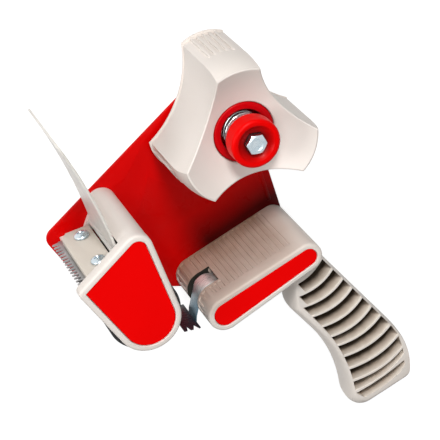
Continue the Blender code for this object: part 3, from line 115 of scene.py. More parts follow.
def arc(centre: Point, radius: float, first: float, last: float, step: float = ARC_STEP) -> list[Point]:
    """Points of a circular arc, both ends included."""
    count = max(1, math.ceil(abs(last - first) / step))
    return [polar(first + (last - first) * i / count, radius, centre) for i in range(count + 1)]


def disc_outline(centre: Point, radius: float, steps: int = 64) -> list[Point]:
    """Full circle as an outline."""
    return arc(centre, radius, 0.0, 2 * math.pi, 2 * math.pi / steps)[:-1]


def run_angle(first: Disc, second: Disc) -> float:
    """Direction of the outward normal where a tangent runs from one disc to the next."""
    across, up = second[0] - first[0], second[1] - first[1]
    lean = math.asin((first[2] - second[2]) / math.hypot(across, up))
    return math.atan2(up, across) - math.pi / 2 + lean


def turned_on(angle: float, start: float) -> float:
    """The same direction as an angle, from start up to a full turn past it."""
    return start + (angle - start) % (2 * math.pi)


def hull_outline(discs: Sequence[Disc]) -> list[Point]:
    """Outline that wraps discs given counter-clockwise.

    Args:
        discs: centre and radius of each disc.

    Returns:
        The outline, as many points for any set of radii that differ by one amount.
    """
    points: list[Point] = []
    for index, disc in enumerate(discs):
        first = run_angle(discs[index - 1], disc)
        last = turned_on(run_angle(disc, discs[(index + 1) % len(discs)]), first)
        points += arc(disc[:2], max(disc[2], SHARP), first, last)
    return points


def shrunk(discs: Sequence[Disc], amount: float) -> list[Disc]:
    """The same discs, each smaller by one amount."""
    return [(x, y, radius - amount) for x, y, radius in discs]


def strip_outline(points: Sequence[Point], thickness: float) -> list[Point]:
    """Outline of a strip of one thickness along a line of points, with mitred bends."""
    left, right = [], []
    for index, point in enumerate(points):
        here = Vector(point)
        into = (here - Vector(points[index - 1])).normalized() if index else None
        out = (Vector(points[index + 1]) - here).normalized() if index + 1 < len(points) else None
        along = ((into or out) + (out or into)).normalized()
        normal = Vector((-along.y, along.x))
        mitre = normal.dot(Vector((-(into or out).y, (into or out).x)))
        reach = thickness / 2 / mitre
        left.append(tuple(here + normal * reach))
        right.append(tuple(here - normal * reach))
    return right + left[::-1]


def rounded_corner(before: Point, corner: Point, after: Point, radius: float, count: int = 9) -> list[Point]:
    """Points of the arc that rounds the corner between two straight runs."""
    spot = Vector(corner)
    back = (Vector(before) - spot).normalized()
    forth = (Vector(after) - spot).normalized()
    half = back.angle(forth) / 2
    centre = spot + (back + forth).normalized() * radius / math.sin(half)
    first = spot + back * radius / math.tan(half) - centre
    last = spot + forth * radius / math.tan(half) - centre
    start = math.atan2(first.y, first.x)
    sweep = -first.angle_signed(last)
    return [polar(angle, radius, tuple(centre)) for angle in spread(start, start + sweep, count)]


def rounded_outline(corners: Sequence[Point], radius: float, count: int = 5) -> list[Point]:
    """Closed outline with every corner rounded by one radius, less where a run is short."""
    points: list[Point] = []
    for index, corner in enumerate(corners):
        before, after = corners[index - 1], corners[(index + 1) % len(corners)]
        back = (Vector(before) - Vector(corner)).length
        forth = (Vector(after) - Vector(corner)).length
        half = (Vector(before) - Vector(corner)).angle(Vector(after) - Vector(corner)) / 2
        room = min(back, forth) * 0.45 * math.tan(half)
        points += rounded_corner(before, corner, after, min(radius, room), count)
    return points


def plate_place(point: Point) -> Point:
    """Point measured from the roll axis, in the model's frame."""
    return (point[0] + AXIS[0], point[1] + AXIS[1])


# ---- Shaping ----


def release() -> None:
    """Leave edit mode and deselect everything."""
    if bpy.context.object and bpy.context.object.mode != "OBJECT":
        bpy.ops.object.mode_set(mode="OBJECT")
    bpy.ops.object.select_all(action="DESELECT")


def pick(body: Body) -> None:
    """Select one object alone and make it the active one."""
    release()
    body.select_set(True)
    bpy.context.view_layer.objects.active = body


def start_loop(name: str, count: int) -> Body:
    """A circle of points, active and in edit mode, to be placed and extruded."""
    release()
    bpy.ops.mesh.primitive_circle_add(vertices=count, radius=1.0, fill_type="NOTHING")
    body = bpy.context.object
    body.name = name
    body.data.name = name
    bpy.ops.object.mode_set(mode="EDIT")
    return body


def place_loop(body: Body, loop: Sequence[int], places: Sequence[Place]) -> None:
    """Move the points of a loop to their places."""
    shape = bmesh.from_edit_mesh(body.data)
    shape.verts.ensure_lookup_table()
    for index, place in zip(loop, places):
        shape.verts[index].co = place
    bmesh.update_edit_mesh(body.data)


def extrude_loop(body: Body, loop: Sequence[int]) -> list[int]:
    """Extrude the selected loop and find its new points.

    Args:
        body: object in edit mode, with the loop selected.
        loop: the loop's point numbers, in order.

    Returns:
        The new loop's point numbers, in the same order.
    """
    bpy.ops.mesh.extrude_region()
    shape = bmesh.from_edit_mesh(body.data)
    shape.verts.ensure_lookup_table()
    order = {shape.verts[number]: index for index, number in enumerate(loop)}
    found = [0] * len(loop)
    for vert in shape.verts:
        if vert.select:
            for edge in vert.link_edges:
                index = order.get(edge.other_vert(vert))
                if index is not None:
                    found[index] = vert.index
    return found


def choose(body: Body, wanted: Callable[[Vector], bool]) -> None:
    """In edit mode, select the points whose places are wanted, and what lies between them."""
    bpy.ops.mesh.select_all(action="DESELECT")
    shape = bmesh.from_edit_mesh(body.data)
    for vert in shape.verts:
        vert.select = wanted(vert.co)
    shape.select_flush(True)
    bmesh.update_edit_mesh(body.data)


def close_loop(body: Body, loop: Sequence[int]) -> None:
    """Fill a loop with one face."""
    bpy.ops.mesh.select_all(action="DESELECT")
    shape = bmesh.from_edit_mesh(body.data)
    shape.verts.ensure_lookup_table()
    for index in loop:
        shape.verts[index].select = True
    shape.select_flush(True)
    bmesh.update_edit_mesh(body.data)
    bpy.ops.mesh.edge_face_add()


def face_outward(body: Body) -> None:
    """Merge doubled points and turn every face outward."""
    bpy.ops.mesh.select_all(action="SELECT")
    bpy.ops.mesh.remove_doubles(threshold=DOUBLED)
    bpy.ops.mesh.normals_make_consistent(inside=False)
    bpy.ops.object.mode_set(mode="OBJECT")


def loft(name: str, rings: Sequence[Sequence[Place]], endless: bool = False) -> Body:
    """Solid over matching rings, made by extruding one loop from ring to ring.

    Args:
        name: the new object's name.
        rings: places of each ring, in the same order.
        endless: whether the last ring joins the first again, instead of both being filled.

    Returns:
        The new object.
    """
    count = len(rings[0])
    body = start_loop(name, count)
    first = list(range(count))
    place_loop(body, first, rings[0])
    loop = first
    for ring in [*rings[1:], rings[0]] if endless else rings[1:]:
        loop = extrude_loop(body, loop)
        place_loop(body, loop, ring)
    if not endless:
        close_loop(body, loop)
        close_loop(body, first)
    face_outward(body)
    return body


def prism(name: str, outline: Sequence[Point], bottom: float, top: float) -> Body:
    """Outline extruded straight up."""
    return loft(name, [[(x, y, height) for x, y in outline] for height in (bottom, top)])


def stepped(name: str, discs: Sequence[Disc], levels: Sequence[Level]) -> Body:
    """Solid whose outline wraps discs, drawn in by an amount at each level.

    Args:
        name: the new object's name.
        discs: centre and radius of each disc, measured from the roll axis.
        levels: (inset, height) from one end face to the other.

    Returns:
        The new object.
    """
    rings = []
    for inset, height in levels:
        rings.append([(*plate_place(point), height) for point in hull_outline(shrunk(discs, inset))])
    return loft(name, rings)


def eased_levels(bottom: float, top: float, low_ease: float, high_ease: float) -> list[Level]:
    """Levels of a slab whose two rims are rounded."""
    levels = []
    for angle in spread(0.0, math.pi / 2, 5):
        levels.append((low_ease * (1 - math.sin(angle)), bottom + low_ease * (1 - math.cos(angle))))
    for angle in spread(math.pi / 2, 0.0, 5):
        levels.append((high_ease * (1 - math.sin(angle)), top - high_ease * (1 - math.cos(angle))))
    return levels


def recess_levels(border: float, front: float, floor: float) -> list[Level]:
    """Levels from a front face down into the recess that an inlay lies in."""
    return [(border - 0.0005, front), (border - 0.0003, front - 0.0002), (border - 0.0003, floor)]


def turn(name: str, profile: Sequence[Point], centre: Point, steps: int = 96) -> Body:
    """Solid spun about an upright axis from a profile of (radius, height).

    Args:
        name: the new object's name.
        profile: closed profile; where it starts and ends on the axis, that side stays open.
        centre: the axis.
        steps: points round the axis.

    Returns:
        The new object.
    """
    body = start_loop(name, len(profile))
    places = [(centre[0] + radius, centre[1], height) for radius, height in profile]
    place_loop(body, range(len(profile)), places)
    if profile[0][0] == 0 and profile[-1][0] == 0:
        choose(body, lambda place: abs(place.x - centre[0]) < 1e-9)
        bpy.ops.mesh.delete(type="EDGE_FACE")
    bpy.ops.mesh.select_all(action="SELECT")
    bpy.ops.mesh.spin(steps=steps, angle=2 * math.pi, center=(*centre, 0.0), axis=(0.0, 0.0, 1.0))
    bpy.ops.mesh.select_all(action="SELECT")
    bpy.ops.mesh.remove_doubles(threshold=SEAM)
    face_outward(body)
    return body


def carve(target: Body, tool: Body, operation: str = "DIFFERENCE") -> None:
    """Apply a Boolean with a tool, which is then removed."""
    pick(target)
    modifier = target.modifiers.new("carve", "BOOLEAN")
    modifier.operation = operation
    modifier.solver = "EXACT"
    modifier.material_mode = "TRANSFER"
    modifier.object = tool
    bpy.ops.object.modifier_apply(modifier=modifier.name)
    bpy.data.objects.remove(tool, do_unlink=True)


def merged(tools: Sequence[Body]) -> Body:
    """Several separate shapes as one object."""
    release()
    for tool in tools:
        tool.select_set(True)
    bpy.context.view_layer.objects.active = tools[0]
    if len(tools) > 1:
        bpy.ops.object.join()
    return tools[0]


def ease_edges(body: Body, width: float, segments: int, angle: float) -> None:
    """Round the edges that turn by more than an angle."""
    pick(body)
    modifier = body.modifiers.new("ease", "BEVEL")
    modifier.width = width
    modifier.segments = segments
    modifier.limit_method = "ANGLE"
    modifier.angle_limit = math.radians(angle)
    modifier.use_clamp_overlap = True
    bpy.ops.object.modifier_apply(modifier=modifier.name)


def smooth(body: Body, angle: float) -> None:
    """Shade round surfaces smooth and keep edges sharp."""
    pick(body)
    bpy.ops.object.shade_smooth_by_angle(angle=math.radians(angle))


def stand(body: Body, direction: Vector, place: Place) -> None:
    """Turn a shape made upright at the origin to a direction, and move it to its place."""
    pick(body)
    body.rotation_euler = direction.to_track_quat("Z", "Y").to_euler()
    body.location = place
    bpy.ops.object.transform_apply(location=True, rotation=True, scale=True)


# ---- Finishes ----


def linear(colour: Sequence[float]) -> tuple[float, float, float, float]:
    """An sRGB colour (0 to 255) as linear values with full alpha."""
    shares = [channel / 255 for channel in colour]
    values = [share / 12.92 if share <= 0.04045 else ((share + 0.055) / 1.055) ** 2.4 for share in shares]
    return (values[0], values[1], values[2], 1.0)


class Sheet:
    """Node tree of one material, with helpers that add and join nodes."""

    def __init__(self, name: str) -> None:
        """Start a material with a Principled shader and Object coordinates."""
        self.material = bpy.data.materials.new(name)
        self.material.use_nodes = True
        self.tree = self.material.node_tree
        self.shader = self.tree.nodes["Principled BSDF"]
        self.places = self.tree.nodes.new("ShaderNodeTexCoord").outputs["Object"]

    @classmethod
    def reopened(cls, material: bpy.types.Material) -> Sheet:
        """The node tree of a material that is there already."""
        sheet = cls.__new__(cls)
        sheet.material = material
        sheet.tree = material.node_tree
        sheet.shader = sheet.tree.nodes["Principled BSDF"]
        sheet.places = next(node for node in sheet.tree.nodes if node.type == "TEX_COORD").outputs["Object"]
        return sheet

    def feed(self, socket: Socket, value: object) -> None:
        """Link an input to another socket, or give it a value."""
        if isinstance(value, Socket):
            self.tree.links.new(value, socket)
        else:
            socket.default_value = value

    def node(self, kind: str, inputs: dict[str | int, object], **options: str) -> bpy.types.Node:
        """Add a node.

        Args:
            kind: its type, without the leading ShaderNode.
            inputs: a socket or a value for each input.
            options: the node's own settings.

        Returns:
            The node.
        """
        node = self.tree.nodes.new(f"ShaderNode{kind}")
        for key, value in options.items():
            setattr(node, key, value)
        for key, value in inputs.items():
            self.feed(node.inputs[key], value)
        return node

    def stretched(self, scale: Place) -> Socket:
        """Object coordinates with a factor along each axis."""
        return self.node("Mapping", {"Vector": self.places, "Scale": scale}).outputs["Vector"]

    def noise(self, scale: float, detail: float, places: Socket | None = None) -> Socket:
        """Grey noise value of one scale."""
        inputs = {"Vector": places or self.places, "Scale": scale, "Detail": detail}
        return self.node("TexNoise", inputs).outputs["Fac"]

    def ramp(self, value: Socket, low: float, high: float, first: float = 0.0, last: float = 1.0) -> Socket:
        """A value mapped from low..high to first..last, clamped."""
        limits = {"From Min": low, "From Max": high, "To Min": first, "To Max": last}
        return self.node("MapRange", {"Value": value, **limits}).outputs["Result"]

    def blend(self, value: Socket, first: Socket | Shade, last: Shade) -> Socket:
        """Colour between a linked or sRGB colour and an sRGB colour by a value from 0 to 1."""
        node = self.node("Mix", {"Factor": value}, data_type="RGBA")
        near, far = (socket for socket in node.inputs if socket.type == "RGBA")
        self.feed(near, first if isinstance(first, Socket) else linear(first))
        self.feed(far, linear(last))
        return next(socket for socket in node.outputs if socket.type == "RGBA")

    def bump(self, height: Socket, distance: float, strength: float) -> None:
        """Roughen the surface by a height value."""
        node = self.node("Bump", {"Distance": distance, "Strength": strength, "Height": height})
        self.feed(self.shader.inputs["Normal"], node.outputs["Normal"])

    def axis(self, name: str) -> Socket:
        """One of the object's own coordinates, in metres."""
        return self.node("SeparateXYZ", {"Vector": self.places}).outputs[name]

    def along(self, direction: float) -> Socket:
        """Distance along a level direction, in metres."""
        heading = (math.cos(direction), math.sin(direction), 0.0)
        return self.node("VectorMath", {0: self.places, 1: heading}, operation="DOT_PRODUCT").outputs["Value"]

    def from_axis(self, centre: Point) -> Socket:
        """Distance from an upright axis, in metres."""
        shift = {"Vector": self.places, "Location": (-centre[0], -centre[1], 0.0), "Scale": (1.0, 1.0, 0.0)}
        level = self.node("Mapping", shift).outputs["Vector"]
        return self.node("VectorMath", {0: level}, operation="LENGTH").outputs["Value"]

    def worked(self, operation: str, first: Socket, second: Socket | float = 0.0) -> Socket:
        """Result of a sum on a value and a value or number."""
        return self.node("Math", {0: first, 1: second}, operation=operation).outputs["Value"]

    def product(self, first: Socket, *others: Socket) -> Socket:
        """Values multiplied together."""
        for other in others:
            first = self.worked("MULTIPLY", first, other)
        return first

    def bands(self, value: Socket, stops: Sequence[tuple[float, Shade]]) -> Socket:
        """Colour that runs through several sRGB colours, each at its own value."""
        node = self.node("ValToRGB", {"Fac": value})
        ramp = node.color_ramp
        while len(ramp.elements) < len(stops):
            ramp.elements.new(0.5)
        for element, (place, colour) in zip(ramp.elements, stops):
            element.position = place
            element.color = linear(colour)
        return node.outputs["Color"]

    def colour(self, socket: Socket) -> None:
        """Use a colour as the surface's base colour."""
        self.feed(self.shader.inputs["Base Color"], socket)

    def paint_shade(self, mask: Socket, painted_shade: Shade) -> None:
        """Blend the base colour toward a painted shade colour by a mask."""
        self.colour(self.blend(mask, self.shader.inputs["Base Color"].links[0].from_socket, painted_shade))

    def rough(self, socket: Socket) -> None:
        """Use a value as the surface's roughness."""
        self.feed(self.shader.inputs["Roughness"], socket)

    def fixed(self, **values: float) -> None:
        """Set plain values on the shader's own sockets, given with underscores for spaces."""
        for key, value in values.items():
            self.shader.inputs[key.replace("_", " ")].default_value = value


class Finish:
    """A surface finish that makes its material once."""

    def material(self) -> bpy.types.Material:
        """The finish's material, made on first use."""
        found = bpy.data.materials.get(self.name)
        return found or self.make()


@dataclass(frozen=True)
class MouldedPlastic(Finish):
    """Satin moulded plastic with a fine spark-eroded grain, faint flow marks and handling shine."""

    name: str
    shade: Shade
    tint: Shade
    low_rough: float = 0.42
    high_rough: float = 0.58
    grain: float = 2400.0
    grain_depth: float = 0.00006
    gloss: float = 0.30

    def make(self) -> bpy.types.Material:
        """The material's nodes."""
        sheet = Sheet(self.name)
        sheet.fixed(Specular_IOR_Level=self.gloss)
        flow = sheet.noise(26.0, 3.0, sheet.stretched((1.0, 1.0, 0.35)))
        specks = sheet.noise(900.0, 2.0)
        sheet.colour(sheet.blend(sheet.ramp(flow, 0.35, 0.68), self.shade, self.tint))
        sheet.rough(sheet.ramp(specks, 0.3, 0.7, self.low_rough, self.high_rough))
        sheet.bump(sheet.noise(self.grain, 3.0), self.grain_depth, strength=0.35)
        return sheet.material


@dataclass(frozen=True)
class CornerShadedPlastic(MouldedPlastic):
    """Moulded plastic with painted shade on the block's upper side, darkest toward the plate and the block's
    low end.
    """

    painted_shade: Shade = (160, 128, 106)
    facing: float = 0.0
    unshaded_at: float = 0.0
    shaded_at: float = 0.0
    run: float = 0.0
    run_start: float = 0.0
    run_end: float = 1.0

    def make(self) -> bpy.types.Material:
        """The material's nodes."""
        material = super().make()
        sheet = Sheet.reopened(material)
        # Painted shade: the mask grows across the block's upper side, toward the plate and toward the low end.
        side = sheet.ramp(sheet.along(self.facing), self.unshaded_at, self.shaded_at)
        height = sheet.ramp(sheet.axis("Z"), 0.002, 0.050, 1.0, 0.5)
        reach = sheet.ramp(sheet.along(self.run), self.run_start, self.run_end, 1.0, 0.3)
        patches = sheet.ramp(sheet.noise(90.0, 3.0), 0.3, 0.7, 0.85, 1.0)
        sheet.paint_shade(sheet.product(side, height, reach, patches), self.painted_shade)
        return material


@dataclass(frozen=True)
class DishShadedPlastic(MouldedPlastic):
    """Moulded plastic with painted shade that darkens it toward the middle of a dished front."""

    painted_shade: Shade = (96, 0, 0)
    inner: float = 0.0052
    outer: float = 0.0100

    def make(self) -> bpy.types.Material:
        """The material's nodes."""
        material = super().make()
        sheet = Sheet.reopened(material)
        # Painted shade: darkest at the well, fading out toward the dish's rim.
        sheet.paint_shade(sheet.ramp(sheet.from_axis(AXIS), self.inner, self.outer, 1.0, 0.0), self.painted_shade)
        return material


@dataclass(frozen=True)
class PaintedSteel(Finish):
    """Gloss paint on pressed steel, with a light orange peel, a few rubbed patches and a painted shadow on its
    front face beside the block.
    """

    name: str
    shade: Shade
    tint: Shade
    # Colour and reach of the painted shadow beside the block.
    painted_shade: Shade = (20, 0, 0)
    corner: tuple[float, float, float] = (math.radians(149), -0.0120, 0.0060)
    run: tuple[float, float, float] = (math.radians(59), -0.0400, -0.0220)

    def make(self) -> bpy.types.Material:
        """The material's nodes."""
        sheet = Sheet(self.name)
        patches = sheet.noise(18.0, 4.0)
        sheet.colour(sheet.blend(sheet.ramp(patches, 0.4, 0.7), self.shade, self.tint))
        sheet.rough(sheet.ramp(sheet.noise(60.0, 4.0), 0.35, 0.7, 0.26, 0.44))
        sheet.bump(sheet.noise(420.0, 2.0), distance=0.00004, strength=0.25)
        sheet.fixed(Specular_IOR_Level=0.10)
        # Painted shadow: the front face darkens toward the block's upper side, from near its low end along the
        # block.
        corner = sheet.ramp(sheet.along(self.corner[0]), self.corner[1], self.corner[2], 1.0, 0.0)
        run = sheet.ramp(sheet.along(self.run[0]), self.run[1], self.run[2])
        inner = sheet.ramp(sheet.axis("Z"), 0.0004, 0.0012, 0.0, 0.9)
        sheet.paint_shade(sheet.product(corner, run, inner), self.painted_shade)
        return sheet.material


@dataclass(frozen=True)
class PlatedMetal(Finish):
    """Bright metal with drawn lines along one axis and a cloudy reflection."""

    name: str
    shade: Shade
    tint: Shade
    low_rough: float = 0.16
    high_rough: float = 0.34
    lines: tuple[float, float, float] = (1.0, 1.0, 14.0)

    def make(self) -> bpy.types.Material:
        """The material's nodes."""
        sheet = Sheet(self.name)
        drawn = sheet.noise(340.0, 4.0, sheet.stretched(self.lines))
        cloud = sheet.noise(150.0, 2.0)
        sheet.colour(sheet.blend(sheet.ramp(cloud, 0.35, 0.65), self.shade, self.tint))
        sheet.rough(sheet.ramp(drawn, 0.3, 0.7, self.low_rough, self.high_rough))
        sheet.bump(drawn, distance=0.00003, strength=0.25)
        sheet.fixed(Metallic=1.0)
        return sheet.material


@dataclass(frozen=True)
class MattRubber(Finish):
    """Black rubber with a dusty bloom and a ground surface."""

    name: str
    shade: Shade
    tint: Shade

    def make(self) -> bpy.types.Material:
        """The material's nodes."""
        sheet = Sheet(self.name)
        sheet.colour(sheet.blend(sheet.ramp(sheet.noise(120.0, 4.0), 0.4, 0.75), self.shade, self.tint))
        sheet.rough(sheet.ramp(sheet.noise(700.0, 3.0), 0.3, 0.7, 0.6, 0.85))
        sheet.bump(sheet.noise(1800.0, 3.0, sheet.stretched((1.0, 1.0, 0.2))), distance=0.00012, strength=0.5)
        return sheet.material


@dataclass(frozen=True)
class PocketShadePlastic(Finish):
    """The grip's plastic inside its pockets, with painted shade that darkens it toward the web."""

    name: str
    stops: Sequence[tuple[float, Sequence[float]]]
    web: float
    reach: float

    def make(self) -> bpy.types.Material:
        """The material's nodes."""
        sheet = Sheet(self.name)
        away = sheet.worked("ABSOLUTE", sheet.worked("SUBTRACT", sheet.axis("Z"), self.web))
        # Painted shade: the colour runs from near black at the pocket floors by the web to plain beige at the
        # flanks.
        depth = sheet.ramp(away, 0.0015, self.reach)
        patches = sheet.ramp(sheet.noise(240.0, 3.0), 0.3, 0.7, -0.06, 0.06)
        sheet.colour(sheet.bands(sheet.worked("ADD", depth, patches), self.stops))
        sheet.rough(sheet.ramp(sheet.noise(900.0, 2.0), 0.3, 0.7, 0.5, 0.7))
        sheet.bump(sheet.noise(2100.0, 3.0), distance=0.00005, strength=0.35)
        sheet.fixed(Specular_IOR_Level=0.15)
        return sheet.material


@dataclass(frozen=True)
class TemperAndReflectionSteel(Finish):
    """Spring steel with temper colours along it and painted reflection bands, the near-white ones a painted
    highlight, with drawn lines and a soft polish.
    """

    name: str
    stops: Sequence[tuple[float, Sequence[float]]]
    first: float
    last: float

    def make(self) -> bpy.types.Material:
        """The material's nodes."""
        sheet = Sheet(self.name)
        along = sheet.ramp(sheet.axis("Y"), self.first, self.last)
        patches = sheet.ramp(sheet.noise(160.0, 2.0), 0.3, 0.7, -0.03, 0.03)
        # The bands are partly temper colour and partly painted reflection and highlight.
        sheet.colour(sheet.bands(sheet.worked("ADD", along, patches), self.stops))
        drawn = sheet.noise(300.0, 4.0, sheet.stretched((1.0, 1.0, 12.0)))
        sheet.rough(sheet.ramp(drawn, 0.3, 0.7, 0.22, 0.36))
        sheet.bump(drawn, distance=0.00002, strength=0.2)
        sheet.fixed(Metallic=0.35)
        return sheet.material


@dataclass(frozen=True)
class MilkyPlastic(Finish):
    """Thin natural polypropylene that lets light through."""

    name: str
    shade: Shade
    tint: Shade

    def make(self) -> bpy.types.Material:
        """The material's nodes."""
        sheet = Sheet(self.name)
        sheet.colour(sheet.blend(sheet.ramp(sheet.noise(70.0, 3.0), 0.4, 0.7), self.shade, self.tint))
        sheet.rough(sheet.ramp(sheet.noise(300.0, 3.0), 0.3, 0.7, 0.28, 0.46))
        sheet.bump(sheet.noise(900.0, 2.0), distance=0.00004, strength=0.3)
        sheet.fixed(Transmission_Weight=0.30, IOR=1.25, Specular_IOR_Level=0.2)
        return sheet.material


class Look(Enum):
    """The object's finishes."""

    BEIGE = MouldedPlastic("beige_moulding", (226, 217, 209), (232, 224, 217))
    # A darker copy of the beige: painted shade for the clamp bar, which the flap shades.
    BEIGE_BAR = MouldedPlastic("beige_moulding_bar_shade", (204, 194, 182), (212, 203, 192))
    # The grip's finish paints shade on the block's upper side, where the hub's shadow falls.
    BEIGE_GRIP = CornerShadedPlastic(
        "beige_moulding_grip",
        (225, 216, 207),
        (231, 223, 215),
        high_rough=0.62,
        grain=2100.0,
        facing=math.radians(149),
        unshaded_at=-0.0205,
        shaded_at=-0.0150,
        run=math.radians(59),
        run_start=0.0040,
        run_end=0.0150,
    )
    # Painted shade for the grip's pockets, near black at their floors.
    POCKET = PocketShadePlastic(
        "beige_moulding_pocket_shade",
        ((0.0, (48, 38, 29)), (0.22, (72, 60, 48)), (0.60, (186, 170, 154)), (1.0, (230, 220, 208))),
        0.0305,
        0.0108,
    )
    # Near-black painted shade for the inside of the notch round the tongue.
    NOTCH = MouldedPlastic("notch_painted_shade", (34, 32, 27), (50, 48, 41), 0.5, 0.7)
    INLAY = MouldedPlastic("red_inlay", (236, 0, 0), (242, 0, 0), 0.50, 0.64, 1500.0, 0.00005, 0.06)
    # The knob's finish paints shade into its dish.
    KNOB = DishShadedPlastic("red_knob", (226, 0, 0), (232, 0, 0), 0.30, 0.40, 1500.0, 0.00003, 0.08)
    CUP = MouldedPlastic("red_cup", (186, 0, 8), (194, 0, 10), 0.28, 0.38, 1500.0, 0.00003, 0.10)
    # The plate's finish carries a painted shadow beside the block.
    PLATE = PaintedSteel("red_painted_steel", (204, 0, 0), (212, 0, 0))
    STEEL = PlatedMetal("polished_spring_steel", (176, 182, 184), (196, 200, 200), 0.10, 0.24)
    # The tongue's colour bands: blued temper colour toward the foot, painted reflections and a painted white
    # highlight toward the eye.
    TONGUE = TemperAndReflectionSteel(
        "spring_steel_temper_and_painted_reflection",
        (
            (0.0, (46, 36, 46)),
            (0.16, (58, 50, 58)),
            (0.22, (24, 56, 70)),
            (0.42, (104, 134, 150)),
            (0.60, (150, 162, 166)),
            (0.72, (222, 224, 222)),
            (0.88, (240, 240, 236)),
            (1.0, (120, 122, 116)),
        ),
        -0.0640,
        -0.0340,
    )
    BLADE = PlatedMetal("blade_steel", (150, 148, 148), (168, 166, 166), 0.30, 0.46, (14.0, 1.0, 1.0))
    ZINC = PlatedMetal("zinc_plating", (182, 196, 204), (204, 212, 216), 0.20, 0.38, (4.0, 4.0, 4.0))
    RUBBER = MattRubber("black_rubber", (16, 16, 18), (30, 30, 32))
    MILKY = MilkyPlastic("milky_plastic", (236, 232, 226), (242, 239, 234))
    BEARING = MouldedPlastic("white_bearing_plastic", (224, 221, 214), (232, 229, 222), 0.40, 0.52)
    FIBRE = MattRubber("brown_fibre", (112, 76, 54), (130, 92, 66))


class Slot(Enum):
    """The record's material slots."""

    BEIGE = "beige"
    PLATE = "plate_red"
    INLAY = "inlay_red"
    KNOB = "knob_red"
    STEEL = "steel"
    ZINC = "zinc"
    RUBBER = "rubber"
    MILKY = "milky"
    BEARING = "bearing_white"
    FIBRE = "fibre"


def dress(body: Body, look: Look) -> None:
    """Give an object one finish, unless its faces carry theirs already."""
    if not any(body.data.materials):
        body.data.materials.clear()
        body.data.materials.append(look.value.material())


def settle(
    body: Body, look: Look, rides: str, node: str, angle: float = SHARP_EDGE
) -> None:
    """Shade and finish a new piece, and tie it to the model.

    Args:
        body: the new piece.
        look: its finish.
        rides: the body it moves with.
        node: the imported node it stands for.
        angle: degrees from which an edge stays sharp.
    """
    smooth(body, angle)
    dress(body, look)
    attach(body, rides)
    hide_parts(node)
    LOG.info("%s: %d faces, rides on %s, stands for %s", body.name, len(body.data.polygons), rides, node)


def make_inlay(name: str, discs: Sequence[Disc], border: float, top: float, node: str) -> None:
    """Plain red inlay, eased at its edge.

    Args:
        name: the new object's name.
        discs: discs that the recess's moulding wraps.
        border: width of the moulding's rim.
        top: height of the inlay's face.
        node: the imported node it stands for.
    """
    levels = [(border, top - 0.0012), (border, top - 0.0002), (border + 0.0002, top)]
    settle(stepped(name, discs, levels), Look.INLAY, "frame", node)


def redress(node: str, look: Look) -> None:
    """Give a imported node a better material."""
    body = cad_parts[node]
    if not body.material_slots:
        body.data.materials.append(look.value.material())
    for place in body.material_slots:
        place.material = look.value.material()
    LOG.info("%s: keeps its shape, finished as %s", node, look.value.name)


# ---- Roll hub and its brake ----


